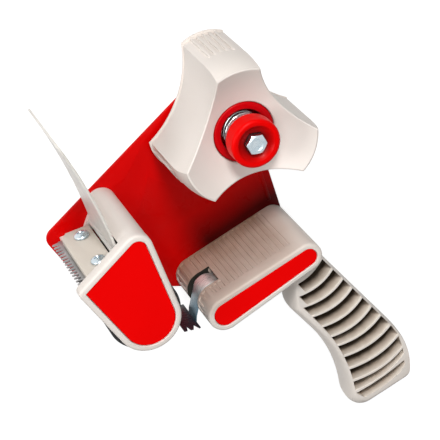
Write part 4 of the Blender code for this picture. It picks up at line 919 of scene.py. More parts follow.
@dataclass
class RollHub:
    """Three-lobed hub on its bolt, with the brake cup, spring and knob."""

    radius: float = 0.038
    rib_height: float = 0.00070
    lip_crown: float = 0.0012
    lobe_direction: float = math.radians(11.4)
    lobes: int = 3
    lobe_half_angle: float = math.radians(16.7)
    middle_radius: float = 0.021
    front_radius: float = 0.0345
    front_half_angle: float = math.radians(18.6)
    front_middle_radius: float = 0.0215
    back: float = 0.0040
    corner_height: float = 0.0524
    wall: float = 0.0022
    tip_points: int = 21
    side_points: int = 29
    taper_start_share: float = 0.64
    cup_radius: float = 0.0152
    cup_recess: float = 0.0115
    cup_front: float = 0.0438
    cup_back: float = 0.0278
    knob_radius: float = 0.0123
    knob_back: float = 0.0480
    knob_front: float = 0.0600
    bolt_radius: float = 0.0030
    bolt_top: float = 0.0608
    bolt_turn: float = math.radians(31)
    bore: float = 0.0055
    bore_back: float = 0.0091
    rib_count: int = 5
    rib_pitch: float = math.radians(4.6)
    rib_width: float = math.radians(2.3)
    rib_levels: Sequence[Level] = ((0.0069, 0.0), (0.0298, 0.0), (0.0322, 0.00065))
    bolt_gap: float = 0.0003
    dish_depth: float = 0.0026
    knob_ease: float = 0.0018
    well_half: float = 0.00495
    serration: float = 0.036
    serrations: int = 60
    head_half: float = 0.0046
    spring_radius: float = 0.0101
    wire_radius: float = 0.0008
    spring_curls: float = 5.5

    def lobe_outline(
        self, radius: float, half_angle: float, middle_radius: float, crown: float
    ) -> list[Point]:
        """Crowned lobe tips joined by hollow sides, measured from the roll axis."""
        points: list[Point] = []
        turn_between = 2 * math.pi / self.lobes
        for lobe in range(self.lobes):
            middle = self.lobe_direction + lobe * turn_between
            tip = [
                polar(middle + half_angle * share, radius + crown * (1 - share * share))
                for share in spread(-1.0, 1.0, self.tip_points)
            ]
            points += tip
            following = polar(middle + turn_between - half_angle, radius)
            points += self.hollow_side(tip[-1], following, middle_radius)
        return points

    def hollow_side(self, first: Point, last: Point, middle_radius: float) -> list[Point]:
        """Inner points of the arc that joins two lobe corners."""
        chord_middle = (Vector(first) + Vector(last)) / 2
        outward = chord_middle.normalized()
        half = (Vector(last) - Vector(first)).length / 2
        sag = chord_middle.length - middle_radius
        radius = (half**2 + sag**2) / (2 * sag)
        centre = outward * (middle_radius + radius)
        start = Vector(first) - centre
        sweep = start.angle_signed(Vector(last) - centre)
        begin = math.atan2(start.y, start.x)
        return [
            polar(begin - sweep * share, radius, tuple(centre))
            for share in spread(0.0, 1.0, self.side_points + 2)[1:-1]
        ]

    def dish(self, radius: float) -> float:
        """Height of the dished front at a distance from the roll axis."""
        slope = (self.corner_height - self.cup_front) / (self.front_radius - self.cup_radius)
        share = max(0.0, min(1.0, (radius - self.cup_radius) / (self.front_radius - self.cup_radius)))
        return self.cup_front + (radius - self.cup_radius) * slope - 0.0006 * math.sin(share * math.pi)

    def wall_outline(self, share: float, inset: float, crown: float = 0.0005) -> list[Point]:
        """Outline of the side wall at a share of the taper, drawn in by an inset."""
        radius = self.radius - self.rib_height * (1 - share) + (self.front_radius - self.radius) * share
        half_angle = self.lobe_half_angle + (self.front_half_angle - self.lobe_half_angle) * share
        middle = self.middle_radius + (self.front_middle_radius - self.middle_radius) * share
        if inset:
            half_angle = math.asin((radius * math.sin(half_angle) - inset) / (radius - inset))
        return self.lobe_outline(radius - inset, half_angle, middle - inset, crown)

    def raised(self, outline: Sequence[Point], share: float, drop: float) -> list[Place]:
        """An outline's points at a share of the way from the back to the dished front."""
        ring = []
        for x, y in outline:
            front = self.dish(math.hypot(x, y)) - drop
            ring.append((*plate_place((x, y)), self.back + (front - self.back) * share))
        return ring

    def circle(self, outline: Sequence[Point], radius: float, height: float) -> list[Place]:
        """Ring of a circle with its points in the same directions as an outline's."""
        return [(*plate_place(polar(math.atan2(y, x), radius)), height) for x, y in outline]

    def flat(self, outline: Sequence[Point], height: float) -> list[Place]:
        """An outline's points at one height."""
        return [(*plate_place(point), height) for point in outline]

    def shell_rings(self) -> list[list[Place]]:
        """All rings of the hub's skin: lip, groove, wall, dished front, recess, bore and inside."""
        lip = self.lobe_outline(self.radius, self.lobe_half_angle, self.middle_radius, self.lip_crown)
        groove = self.wall_outline(0.0, 0.0012)
        base = self.wall_outline(0.0, 0.0)
        steps = [(base, 0.0), (lip, 0.0002), (lip, 0.0009)]
        steps += [(groove, 0.0012), (groove, 0.0026), (base, 0.0030)]
        rings = [self.flat(outline, self.back + rise) for outline, rise in steps]
        lifts = spread(self.taper_start_share, 1.0, 8)
        tapers = [((lift - self.taper_start_share) / (1 - self.taper_start_share)) ** 2.1 for lift in lifts]
        for taper, lift in zip(tapers[:-1], lifts[:-1]):
            rings.append(self.raised(self.wall_outline(taper, 0.0), lift, 0.0))
        rings.append(self.raised(self.wall_outline(0.93, 0.0), 0.988, 0.0))
        rings.append(self.raised(self.wall_outline(1.0, 0.0006), 1.0, 0.0))
        edge = self.wall_outline(1.0, 0.0006)
        recess = self.cup_radius + 0.0003
        for share in (0.25, 0.5, 0.75):
            ring = []
            for x, y in edge:
                reach = math.hypot(x, y)
                radius = reach + (recess - reach) * share
                ring.append((*plate_place(polar(math.atan2(y, x), radius)), self.dish(radius)))
            rings.append(ring)
        floor = self.cup_back - 0.0016
        under, sleeve, outside = floor - 0.0025, self.bore + 0.003, recess + self.wall
        for radius, height in (
            (recess + 0.0004, self.dish(recess) + 0.0001),
            (recess, self.dish(recess) - 0.0004),
            (recess, floor),
            (self.bore, floor),
            (self.bore, self.bore_back),
            (sleeve, self.bore_back),
            (sleeve, under),
            (outside, under),
            (outside, self.dish(outside) - self.wall),
        ):
            rings.append(self.circle(edge, radius, height))
        inner = self.wall_outline(1.0, self.wall + 0.0004)
        rings.append(self.raised(inner, 1.0, self.wall))
        rings.append(self.raised(self.wall_outline(0.3, self.wall), 0.80, self.wall))
        rings.append(self.raised(self.wall_outline(0.0, self.wall), self.taper_start_share, self.wall))
        rings.append(self.flat(self.wall_outline(0.0, self.wall), self.back))
        return rings

    def ribs(self) -> Body:
        """Low ribs along the back of each lobe's tip, which fade out at their front ends."""
        width, inner, outer = self.rib_width, self.radius - 0.0011, self.radius + 0.00055
        made = []
        for lobe in range(self.lobes):
            middle = self.lobe_direction + lobe * 2 * math.pi / self.lobes
            for step in range(self.rib_count):
                centre = middle + self.rib_pitch * (step - (self.rib_count - 1) / 2)
                rings = []
                for height, shy in self.rib_levels:
                    corners = [
                        polar(centre - width / 2, inner),
                        polar(centre + width / 2, inner),
                        polar(centre + width / 2.6, outer - shy),
                        polar(centre - width / 2.6, outer - shy),
                    ]
                    rings.append(self.flat(corners, height))
                made.append(loft("lobe_rib", rings))
        return merged(made)

    def make_shell(self) -> None:
        """The hub's moulding."""
        shell = loft("hub_shell", self.shell_rings(), endless=True)
        shell = merged([shell, self.ribs()])
        settle(shell, Look.BEIGE, "hub", "hub", 28.0)

    def make_cup(self) -> None:
        """The red cup round the spring."""
        bore, floor = self.bolt_radius + self.bolt_gap, self.cup_back + 0.002
        corners = [
            (bore, floor),
            (self.cup_recess, floor),
            (self.cup_recess, self.cup_front),
            (self.cup_radius, self.cup_front),
            (self.cup_radius, self.cup_back),
            (bore, self.cup_back),
        ]
        cup = turn("spring_cup_moulding", rounded_outline(corners, 0.0008, 4), AXIS, 128)
        settle(cup, Look.CUP, "frame", "spring_cup", ROUND_EDGE)

    def hexagon(self, half: float) -> list[Point]:
        """Hexagon round the bolt, given by half its width across flats."""
        corner = half / math.cos(math.pi / 6)
        return [polar(self.bolt_turn + index * math.pi / 3, corner, AXIS) for index in range(6)]

    def make_knob(self) -> None:
        """Knob with a wide dish, a hexagonal well and a finely serrated back edge."""
        floor, front, ease = self.knob_front - self.dish_depth, self.knob_front, self.knob_ease
        bore = self.bolt_radius + self.bolt_gap
        profile = [(bore, floor)]
        for radius in spread(0.0060, 0.0092, 7):
            rise = max(0.0, (radius - 0.0058) / 0.0036) ** 1.8
            profile.append((radius, floor + self.dish_depth * rise))
        for angle in spread(math.pi / 2, 0.0, 7):
            across = self.knob_radius - ease * (1 - math.cos(angle))
            profile.append((across, front - ease * (1 - math.sin(angle))))
        profile += [(self.knob_radius, 0.0514), (0.0112, 0.0490), (0.0108, 0.0482)]
        profile += [(0.0105, self.knob_back), (bore, self.knob_back)]
        knob = turn("brake_knob_moulding", profile, AXIS, 4 * self.serrations)
        self.serrate(knob)
        carve(knob, prism("well_tool", self.hexagon(self.well_half), self.bolt_top - 0.0043, floor + 0.004))
        settle(knob, Look.KNOB, "knob", "brake_knob")

    def serrate(self, knob: Body) -> None:
        """Draw the knob's back edge in between its fine teeth."""
        for vert in knob.data.vertices:
            x, y = vert.co.x - AXIS[0], vert.co.y - AXIS[1]
            if math.hypot(x, y) > 0.0100 and self.knob_back + 0.0001 < vert.co.z < 0.0495:
                wave = 0.5 + 0.5 * math.cos(self.serrations * math.atan2(y, x))
                scale = 1 - self.serration * wave
                vert.co.x, vert.co.y = AXIS[0] + x * scale, AXIS[1] + y * scale

    def spring_rise(self, curl: float) -> float:
        """Rise of the spring's wire at a number of curls: closed for one curl at each end, even between."""
        low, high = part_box("brake_spring")
        closed = 2 * self.wire_radius + 0.00005
        travel = high[2] - low[2] - 2 * self.wire_radius
        pitch = (travel - 2 * closed) / (self.spring_curls - 2)
        inner = min(max(curl - 1, 0.0), self.spring_curls - 2)
        outer = min(curl, 1.0) + max(curl - self.spring_curls + 1, 0.0)
        return low[2] + self.wire_radius + outer * closed + inner * pitch

    def make_spring(self) -> None:
        """Compression spring with closed ends, which stretches between the cup and the pressure washer."""
        steps, sides = 132, 10
        reach = self.spring_radius - self.wire_radius
        rings = []
        for step in range(steps + 1):
            curl = self.spring_curls * step / steps
            angle = 2 * math.pi * curl
            outward = Vector((math.cos(angle), math.sin(angle), 0.0))
            middle = outward * reach + Vector((*AXIS, self.spring_rise(curl)))
            slope = self.spring_rise(curl + SLOPE_STEP) - self.spring_rise(curl - SLOPE_STEP)
            ahead = Vector((-math.sin(angle), math.cos(angle), 0.0)) * reach * 2 * math.pi * 2 * SLOPE_STEP
            across = (ahead + Vector((0.0, 0.0, slope))).normalized().cross(outward)
            rings.append([
                tuple(middle + (outward * math.cos(side) + across * math.sin(side)) * self.wire_radius)
                for side in spread(0.0, 2 * math.pi, sides + 1)[:-1]
            ])
        spring = loft("brake_spring_coil", rings)
        smooth(spring, 40.0)
        dress(spring, Look.STEEL)
        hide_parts("brake_spring")
        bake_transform(spring)
        LOG.info("%s: %d faces, stretches from frame to brake_thrust", spring.name, len(spring.data.polygons))

    def make_washer(self) -> None:
        """The bright washer between spring and knob."""
        corners = [(0.0033, 0.0477), (0.0108, 0.0477), (0.0108, 0.0465), (0.0033, 0.0465)]
        washer = turn("pressure_washer_disc", rounded_outline(corners, 0.0002, 3), AXIS, 96)
        settle(washer, Look.ZINC, "brake_thrust", "pressure_washer", ROUND_EDGE)

    def make_bolt(self) -> None:
        """Hexagon-head bolt with a turned chamfer and a shallow ring in its head."""
        top = self.bolt_top
        outside = self.head_half / math.cos(math.pi / 6) + 0.0008
        head = prism("axle_bolt_turned", self.hexagon(self.head_half), top - 0.004, top + 0.001)
        crown = [
            (0.0, top - 0.00050),
            (0.0020, top - 0.00050),
            (0.0026, top - 0.00035),
            (0.0030, top),
            (0.0040, top),
            (outside, top - 0.0012),
            (outside, top - 0.0050),
            (0.0, top - 0.0050),
        ]
        carve(head, turn("crown_tool", crown, AXIS, 96), "INTERSECT")
        shank = [(0.0, top - 0.0035), (self.bolt_radius, top - 0.0035), (self.bolt_radius, 0.0031)]
        shank += [(0.0026, 0.0026), (0.0, 0.0026)]
        carve(head, turn("shank_tool", shank, AXIS, 48), "UNION")
        ease_edges(head, 0.00012, 2, 25.0)
        settle(head, Look.ZINC, "knob", "axle_bolt", 24.0)

    def build(self) -> None:
        """Make and dress every piece on the roll axis."""
        self.make_shell()
        self.make_cup()
        self.make_knob()
        self.make_washer()
        self.make_bolt()
        self.make_spring()
        redress("axle_nut", Look.ZINC)
        redress("hub_bush", Look.BEARING)
        redress("brake_washer", Look.FIBRE)


# ---- Screws ----


def cross_tool(top: float, reach: float, depth: float) -> Body:
    """Cross-shaped tool on the upright axis, which tapers downward.

    Args:
        top: height of the face that it sinks into.
        reach: length of each arm.
        depth: depth of the recess.

    Returns:
        The new object.
    """
    rings = []
    for height, share in ((top - depth, CROSS_TAPER), (top + 0.0002, 1.0)):
        half, far = CROSS_WIDTH / 2 * share, reach * share
        outline: list[Point] = []
        for quarter in range(4):
            for x, y in ((half, half), (half, far), (-half, far)):
                outline.append(polar(math.atan2(y, x) + quarter * math.pi / 2, math.hypot(x, y)))
        rings.append([(x, y, height) for x, y in outline])
    return loft("cross_tool", rings)


def pan_screw(name: str, centre: Place, outward: Vector, length: float) -> Body:
    """Cross-recess pan-head screw.

    Args:
        name: the new object's name.
        centre: where its axis meets the clamped face.
        outward: direction out of that face.
        length: depth of its end under that face.

    Returns:
        The new object.
    """
    head, tall, seat = 0.0039, 0.0024, 0.0003
    profile = [(0.0, -length), (SHANK - 0.0004, -length), (SHANK, -length + 0.0005), (SHANK, seat)]
    profile.append((head - 0.0001, seat))
    for angle in spread(0.0, math.pi / 2, 12)[:-1]:
        profile.append((head * math.cos(angle), seat + tall * (0.22 + 0.78 * math.sin(angle))))
    profile.append((0.0, seat + tall))
    screw = turn(name, profile, (0.0, 0.0), 64)
    carve(screw, cross_tool(seat + tall, 0.0022, 0.0011))
    stand(screw, outward, centre)
    return screw


def sunk_screw(name: str, centre: Point) -> Body:
    """Cross-recess countersunk screw whose head lies in the plate's outer face."""
    head, end, face = 0.0034, -0.0120, -0.0001
    profile = [(0.0, end), (SHANK - 0.0006, end), (SHANK, end + 0.0008)]
    profile += [(SHANK, -0.0012), (head, face), (0.0, face)]
    screw = turn(name, profile, (0.0, 0.0), 48)
    carve(screw, cross_tool(face, 0.0019, 0.0009))
    stand(screw, Vector((0.0, 0.0, -1.0)), (*centre, 0.0))
    return screw


def screw_holes(places: Sequence[Point]) -> list[Body]:
    """Tools for the blind holes that the plate's screws go into."""
    return [prism("hole_tool", disc_outline(place, SCREW_HOLE, 32), 0.0008, 0.0123) for place in places]


def node_centre(node: str) -> Point:
    """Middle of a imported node's box in the plane of the plate."""
    low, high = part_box(node)
    return ((low[0] + high[0]) / 2, (low[1] + high[1]) / 2)


# ---- Side plate ----


@dataclass
class SidePlate:
    """Red pressed plate that carries everything, with its four countersunk screws."""

    discs: Sequence[Disc] = (
        (0.0, 0.0, 0.016),
        (-0.0396, -0.0937, 0.006),
        (-0.0125, -0.1030, 0.009),
        (0.0365, -0.0852, 0.0082),
        (0.0619, -0.0430, 0.0068),
    )
    thickness: float = 0.0015
    creases: Sequence[tuple[Point, Point]] = (
        ((-0.0238, -0.0333), (-0.0228, -0.0528)),
        ((-0.0121, -0.0485), (-0.0067, -0.0667)),
    )
    axle_hole: float = 0.0033
    shaft_hole: float = 0.0029
    screw_nodes: Sequence[str] = ("head_screw_1", "head_screw_2", "handle_screw_1", "handle_screw_2")

    def bead(self) -> Body:
        """Raised bead beside the edge between the block and the roll axis."""
        high, top = self.discs[-1], self.discs[0]
        normal = run_angle(high, top)
        heading = normal + math.pi / 2
        start = polar(heading, 0.0112, polar(normal, 0.0020, high[:2]))
        end = polar(heading, -0.0024, polar(normal, 0.0112, top[:2]))
        levels = [(0.0, 0.0009), (0.0, 0.00165), (0.0002, 0.0019), (0.0006, 0.0021)]
        return stepped("bead_form", [(*start, 0.0012), (*end, 0.0012)], levels)

    def crease(self, first: Point, last: Point) -> Body:
        """Faint pressed line across the plate."""
        levels = [(0.0, 0.0010), (0.0, 0.0015), (0.0004, 0.00158)]
        return stepped("crease_form", [(*first, 0.0009), (*last, 0.0009)], levels)

    def drill(self, centre: Point, profile: Sequence[Point]) -> Body:
        """Tool for one hole through the plate, lengthened past both faces."""
        over, under = 0.003, -0.001
        whole = [(0.0, over), (profile[0][0], over), *profile[1:-1], (profile[-1][0], under), (0.0, under)]
        return turn("hole_tool", whole, centre, 48)

    def build(self) -> None:
        """Make the plate and its screws."""
        plate = stepped("side_plate_pressing", self.discs, eased_levels(0.0, self.thickness, 0.0003, 0.0004))
        for form in (self.bead(), *(self.crease(*ends) for ends in self.creases)):
            carve(plate, form, "UNION")
        sink = [(SCREW_HOLE, 0.0), (SCREW_HOLE, 0.0012), (0.0037, 0.0), (0.0051, 0.0)]
        tools = [self.drill(node_centre(node), sink) for node in self.screw_nodes]
        for centre, radius in ((AXIS, self.axle_hole), (node_centre("roller_tyre"), self.shaft_hole)):
            tools.append(self.drill(centre, [(radius, 0.0), (radius, 0.0)]))
        carve(plate, merged(tools))
        settle(plate, Look.PLATE, "frame", "side_plate")
        for node in self.screw_nodes:
            settle(sunk_screw(f"{node}_turned", node_centre(node)), Look.ZINC, "frame", node)


# ---- Cutting head ----


@dataclass
class CuttingHead:
    """Head moulding with its inlay, blade, clamp bar, flap and roller."""

    roller: Point = (-0.0051, -0.0987)
    cover: Sequence[Disc] = (
        (-0.0286, -0.0685, 0.0078),
        (-0.0414, -0.0973, 0.0033),
        (-0.0051, -0.0987, 0.0164),
    )
    border: float = 0.0033
    cover_back: float = 0.0548
    cover_front: float = 0.0608
    column_wall: float = 0.0030
    column_left: float = 0.0038
    column_right: float = 0.0228
    bottom: float = 0.0018
    bar_edge: Point = (-0.0432, -0.0906)
    bar_direction: float = math.radians(44)
    bar_length: float = 0.0156
    bar_thickness: float = 0.0032
    bar_back: float = 0.0083
    blade_back: float = 0.0075
    blade_teeth: int = 15
    flap_pivot: Point = (-0.0295, -0.0784)
    flap_direction: float = math.radians(145.3)
    flap_bow: float = math.radians(7.5)
    flap_length: float = 0.0700
    flap_back: float = 0.0050
    flap_front: float = 0.0530
    flap_half: float = 0.0006
    pin_bore: float = 0.0013
    shaft_bore: float = 0.0029
    boss_radius: float = 0.0042
    screw_along: float = 0.0092
    screw_heights: Sequence[float] = (0.0179, 0.0465)

    def bar_point(self, along: float, offset: float) -> Point:
        """Point along the bar's face from its free edge and inward from the face."""
        start = polar(self.bar_direction, along, plate_place(self.bar_edge))
        return polar(self.bar_direction - math.pi / 2, offset, start)

    def column_outline(self) -> list[Point]:
        """Wall that follows the cover round its upper corner, measured from the roll axis."""
        top, corner, foot = shrunk(self.cover, 0.0002)
        right = run_angle(foot, top)
        left = turned_on(run_angle(top, corner), right)
        outer, inner = top[2], top[2] - self.column_wall
        heading_right, heading_left = right - math.pi / 2, left + math.pi / 2
        points = [polar(heading_right, self.column_right, polar(right, outer, top[:2]))]
        points += arc(top[:2], outer, right, left)
        points.append(polar(heading_left, self.column_left, polar(left, outer, top[:2])))
        points.append(polar(heading_left, self.column_left, polar(left, inner, top[:2])))
        points += arc(top[:2], inner, left, right)
        points.append(polar(heading_right, self.column_right, polar(right, inner, top[:2])))
        return points

    def make_housing(self) -> None:
        """Cover with its rounded rim and recess, column wall, bosses, platform and foot."""
        levels = eased_levels(self.cover_back, self.cover_front, 0.0003, 0.0013)
        levels += recess_levels(self.border, self.cover_front, self.cover_front - 0.0019)
        housing = stepped("head_moulding", self.cover, levels)
        inside = self.cover_back + 0.0012
        column = [plate_place(point) for point in self.column_outline()]
        top_boss, low_boss = plate_place(self.cover[0][:2]), node_centre("head_screw_2")
        near, far, length = 0.0045, 0.0075, self.bar_length
        ends = ((0.001, near), (0.001, far), (length, far), (length, near))
        inner_end = self.bar_point(length - 0.0015, (near + far) / 2)
        pivot = plate_place(self.flap_pivot)
        gusset = hull_outline([(*top_boss, self.boss_radius), (*pivot, 0.0022), (*inner_end, 0.0015)])
        for form in (
            prism("column_form", column, self.bottom, inside),
            prism("top_boss_form", disc_outline(top_boss, self.boss_radius), self.bottom, inside),
            prism("low_boss_form", disc_outline(low_boss, self.boss_radius), self.bottom, 0.0135),
            prism("platform_form", [self.bar_point(*end) for end in ends], self.bottom, inside),
            prism("gusset_form", gusset, self.bottom, self.bottom + 0.0029),
        ):
            carve(housing, form, "UNION")
        shaft = disc_outline(plate_place(self.roller), self.shaft_bore, 32)
        pin = disc_outline(pivot, self.pin_bore, 24)
        tools = screw_holes((top_boss, low_boss))
        tools += [prism("socket_tool", shaft, 0.0538, 0.0575)]
        tools += [prism("pin_tool", pin, 0.0538, 0.0569), prism("pin_foot_tool", pin, 0.0026, 0.0057)]
        carve(housing, merged(tools + self.screw_tools()))
        settle(housing, Look.BEIGE, "frame", "head_housing")

    def outward(self) -> Vector:
        """Direction out of the bar's face."""
        return Vector((*polar(self.bar_direction + math.pi / 2, 1.0), 0.0))

    def screw_tools(self) -> list[Body]:
        """Round tools along the blade screws."""
        over, under = 0.001, -0.0085
        tools = []
        for height in self.screw_heights:
            profile = [(0.0, over), (SCREW_HOLE, over), (SCREW_HOLE, under), (0.0, under)]
            tool = turn("screw_tool", profile, (0.0, 0.0), 32)
            stand(tool, self.outward(), (*self.bar_point(self.screw_along, 0.0), height))
            tools.append(tool)
        return tools

    def slab(self, name: str, flat: Sequence[Point], near: float, far: float) -> Body:
        """Solid parallel to the bar's face from an outline of (along, height)."""
        rings = []
        for offset in (near, far):
            rings.append([(*self.bar_point(along, offset), height) for along, height in flat])
        return loft(name, rings)

    def make_bar(self) -> None:
        """Clamp bar with eased edges and a clipped corner."""
        top = self.cover_back - 0.0003
        flat = [(0.0031, self.bar_back), (self.bar_length, self.bar_back)]
        flat += [(self.bar_length, top), (0.0, top), (0.0, self.bar_back + 0.0054)]
        bar = self.slab("blade_bar_moulding", flat, 0.0, self.bar_thickness)
        ease_edges(bar, 0.0004, 3, 30.0)
        carve(bar, merged(self.screw_tools()))
        # The bar's darker beige is painted shade.
        settle(bar, Look.BEIGE_BAR, "frame", "blade_bar")

    def make_blade(self) -> None:
        """Blade with long narrow teeth."""
        top = self.cover_back - 0.0003
        pitch = (top - self.blade_back) / self.blade_teeth
        valley, tip = -0.0014, -0.0048
        flat = [(0.0140, self.blade_back), (0.0140, top), (valley, top)]
        for tooth in reversed(range(self.blade_teeth)):  # from the front to the back
            middle = self.blade_back + pitch * (tooth + 0.5)
            flat += [(valley, middle + pitch * 0.26), (tip + 0.0006, middle + pitch * 0.14), (tip, middle)]
            flat += [(tip + 0.0006, middle - pitch * 0.14), (valley, middle - pitch * 0.26)]
        flat.append((valley, self.blade_back))
        blade = self.slab("toothed_blade", flat, 0.0035, 0.0042)
        carve(blade, merged(self.screw_tools()))
        settle(blade, Look.BLADE, "frame", "blade", 20.0)

    def make_screws(self) -> None:
        """The two pan-head screws."""
        for index, height in enumerate(self.screw_heights):
            node = f"blade_screw_{index + 1}"
            place = (*self.bar_point(self.screw_along, 0.0), height)
            screw = pan_screw(f"{node}_turned", place, self.outward(), 0.0072)
            settle(screw, Look.ZINC, "frame", node)

    def leaf_point(self, along: float, side: float) -> Point:
        """Point of the bowed flap at a distance from its pivot and off its middle face."""
        start = self.flap_direction - self.flap_bow
        bend = 2 * self.flap_bow / self.flap_length
        heading = start + bend * along
        x = (math.sin(heading) - math.sin(start)) / bend
        y = (math.cos(start) - math.cos(heading)) / bend
        pivot = plate_place(self.flap_pivot)
        return polar(heading + math.pi / 2, side, (pivot[0] + x, pivot[1] + y))

    def leaf_ring(self, low: Point, high: Point) -> list[Place]:
        """Section of the flap from its back edge to its front edge, each given as (along, height)."""
        half, ease = self.flap_half, 0.0004
        tall = math.dist(low, high)
        ring = []
        for share, side in (
            (0.0, ease - half),
            (ease / tall, -half),
            (1 - ease / tall, -half),
            (1.0, ease - half),
            (1.0, half - ease),
            (1 - ease / tall, half),
            (ease / tall, half),
            (0.0, half - ease),
        ):
            along = low[0] + (high[0] - low[0]) * share
            height = low[1] + (high[1] - low[1]) * share
            ring.append((*self.leaf_point(along, side), height))
        return ring

    def make_flap(self) -> None:
        """Milky flap with a rolled barrel, a slight bow and a rounded tip."""
        pivot = plate_place(self.flap_pivot)
        back_tip, front_tip = (0.0714, self.flap_back), (0.0684, self.flap_front)
        root, corner = 0.001, 0.0035
        back_arc = rounded_corner((root, self.flap_back), back_tip, front_tip, corner)
        front_arc = rounded_corner((root, self.flap_front), front_tip, back_tip, corner)
        rings = []
        for share in spread(0.0, 1.0, 17)[:-1]:
            low = (root + (back_arc[0][0] - root) * share, self.flap_back)
            high = (root + (front_arc[0][0] - root) * share, self.flap_front)
            rings.append(self.leaf_ring(low, high))
        rings += [self.leaf_ring(low, high) for low, high in zip(back_arc, front_arc)]
        flap = loft("wiper_flap_leaf", rings)
        back, front = self.flap_back, self.flap_front
        barrel, bore = disc_outline(pivot, 0.0019, 48), disc_outline(pivot, self.pin_bore, 32)
        carve(flap, prism("barrel_form", barrel, back + 0.0002, front - 0.0002), "UNION")
        carve(flap, prism("bore_tool", bore, back - 0.001, front + 0.001))
        settle(flap, Look.MILKY, "flap", "wiper_flap")

    def make_tyre(self) -> None:
        """Rubber tyre with rounded shoulders."""
        inner, outer, back, front = 0.0150, 0.0186, 0.0030, 0.0535
        outline = rounded_outline([(inner, front), (outer, front), (outer, back), (inner, back)], 0.0009, 5)
        tyre = turn("roller_tyre_rubber", outline, plate_place(self.roller), 128)
        settle(tyre, Look.RUBBER, "roller", "roller_tyre", ROUND_EDGE)

    def build(self) -> None:
        """Make and dress every piece of the head."""
        self.make_housing()
        make_inlay("head_inlay", self.cover, self.border, self.cover_front - 0.0004, "head_insert")
        self.make_bar()
        self.make_blade()
        self.make_screws()
        self.make_flap()
        self.make_tyre()
        redress("roller_core", Look.BEARING)
        redress("roller_shaft", Look.STEEL)
        redress("flap_pin", Look.STEEL)


# ---- Handle ----


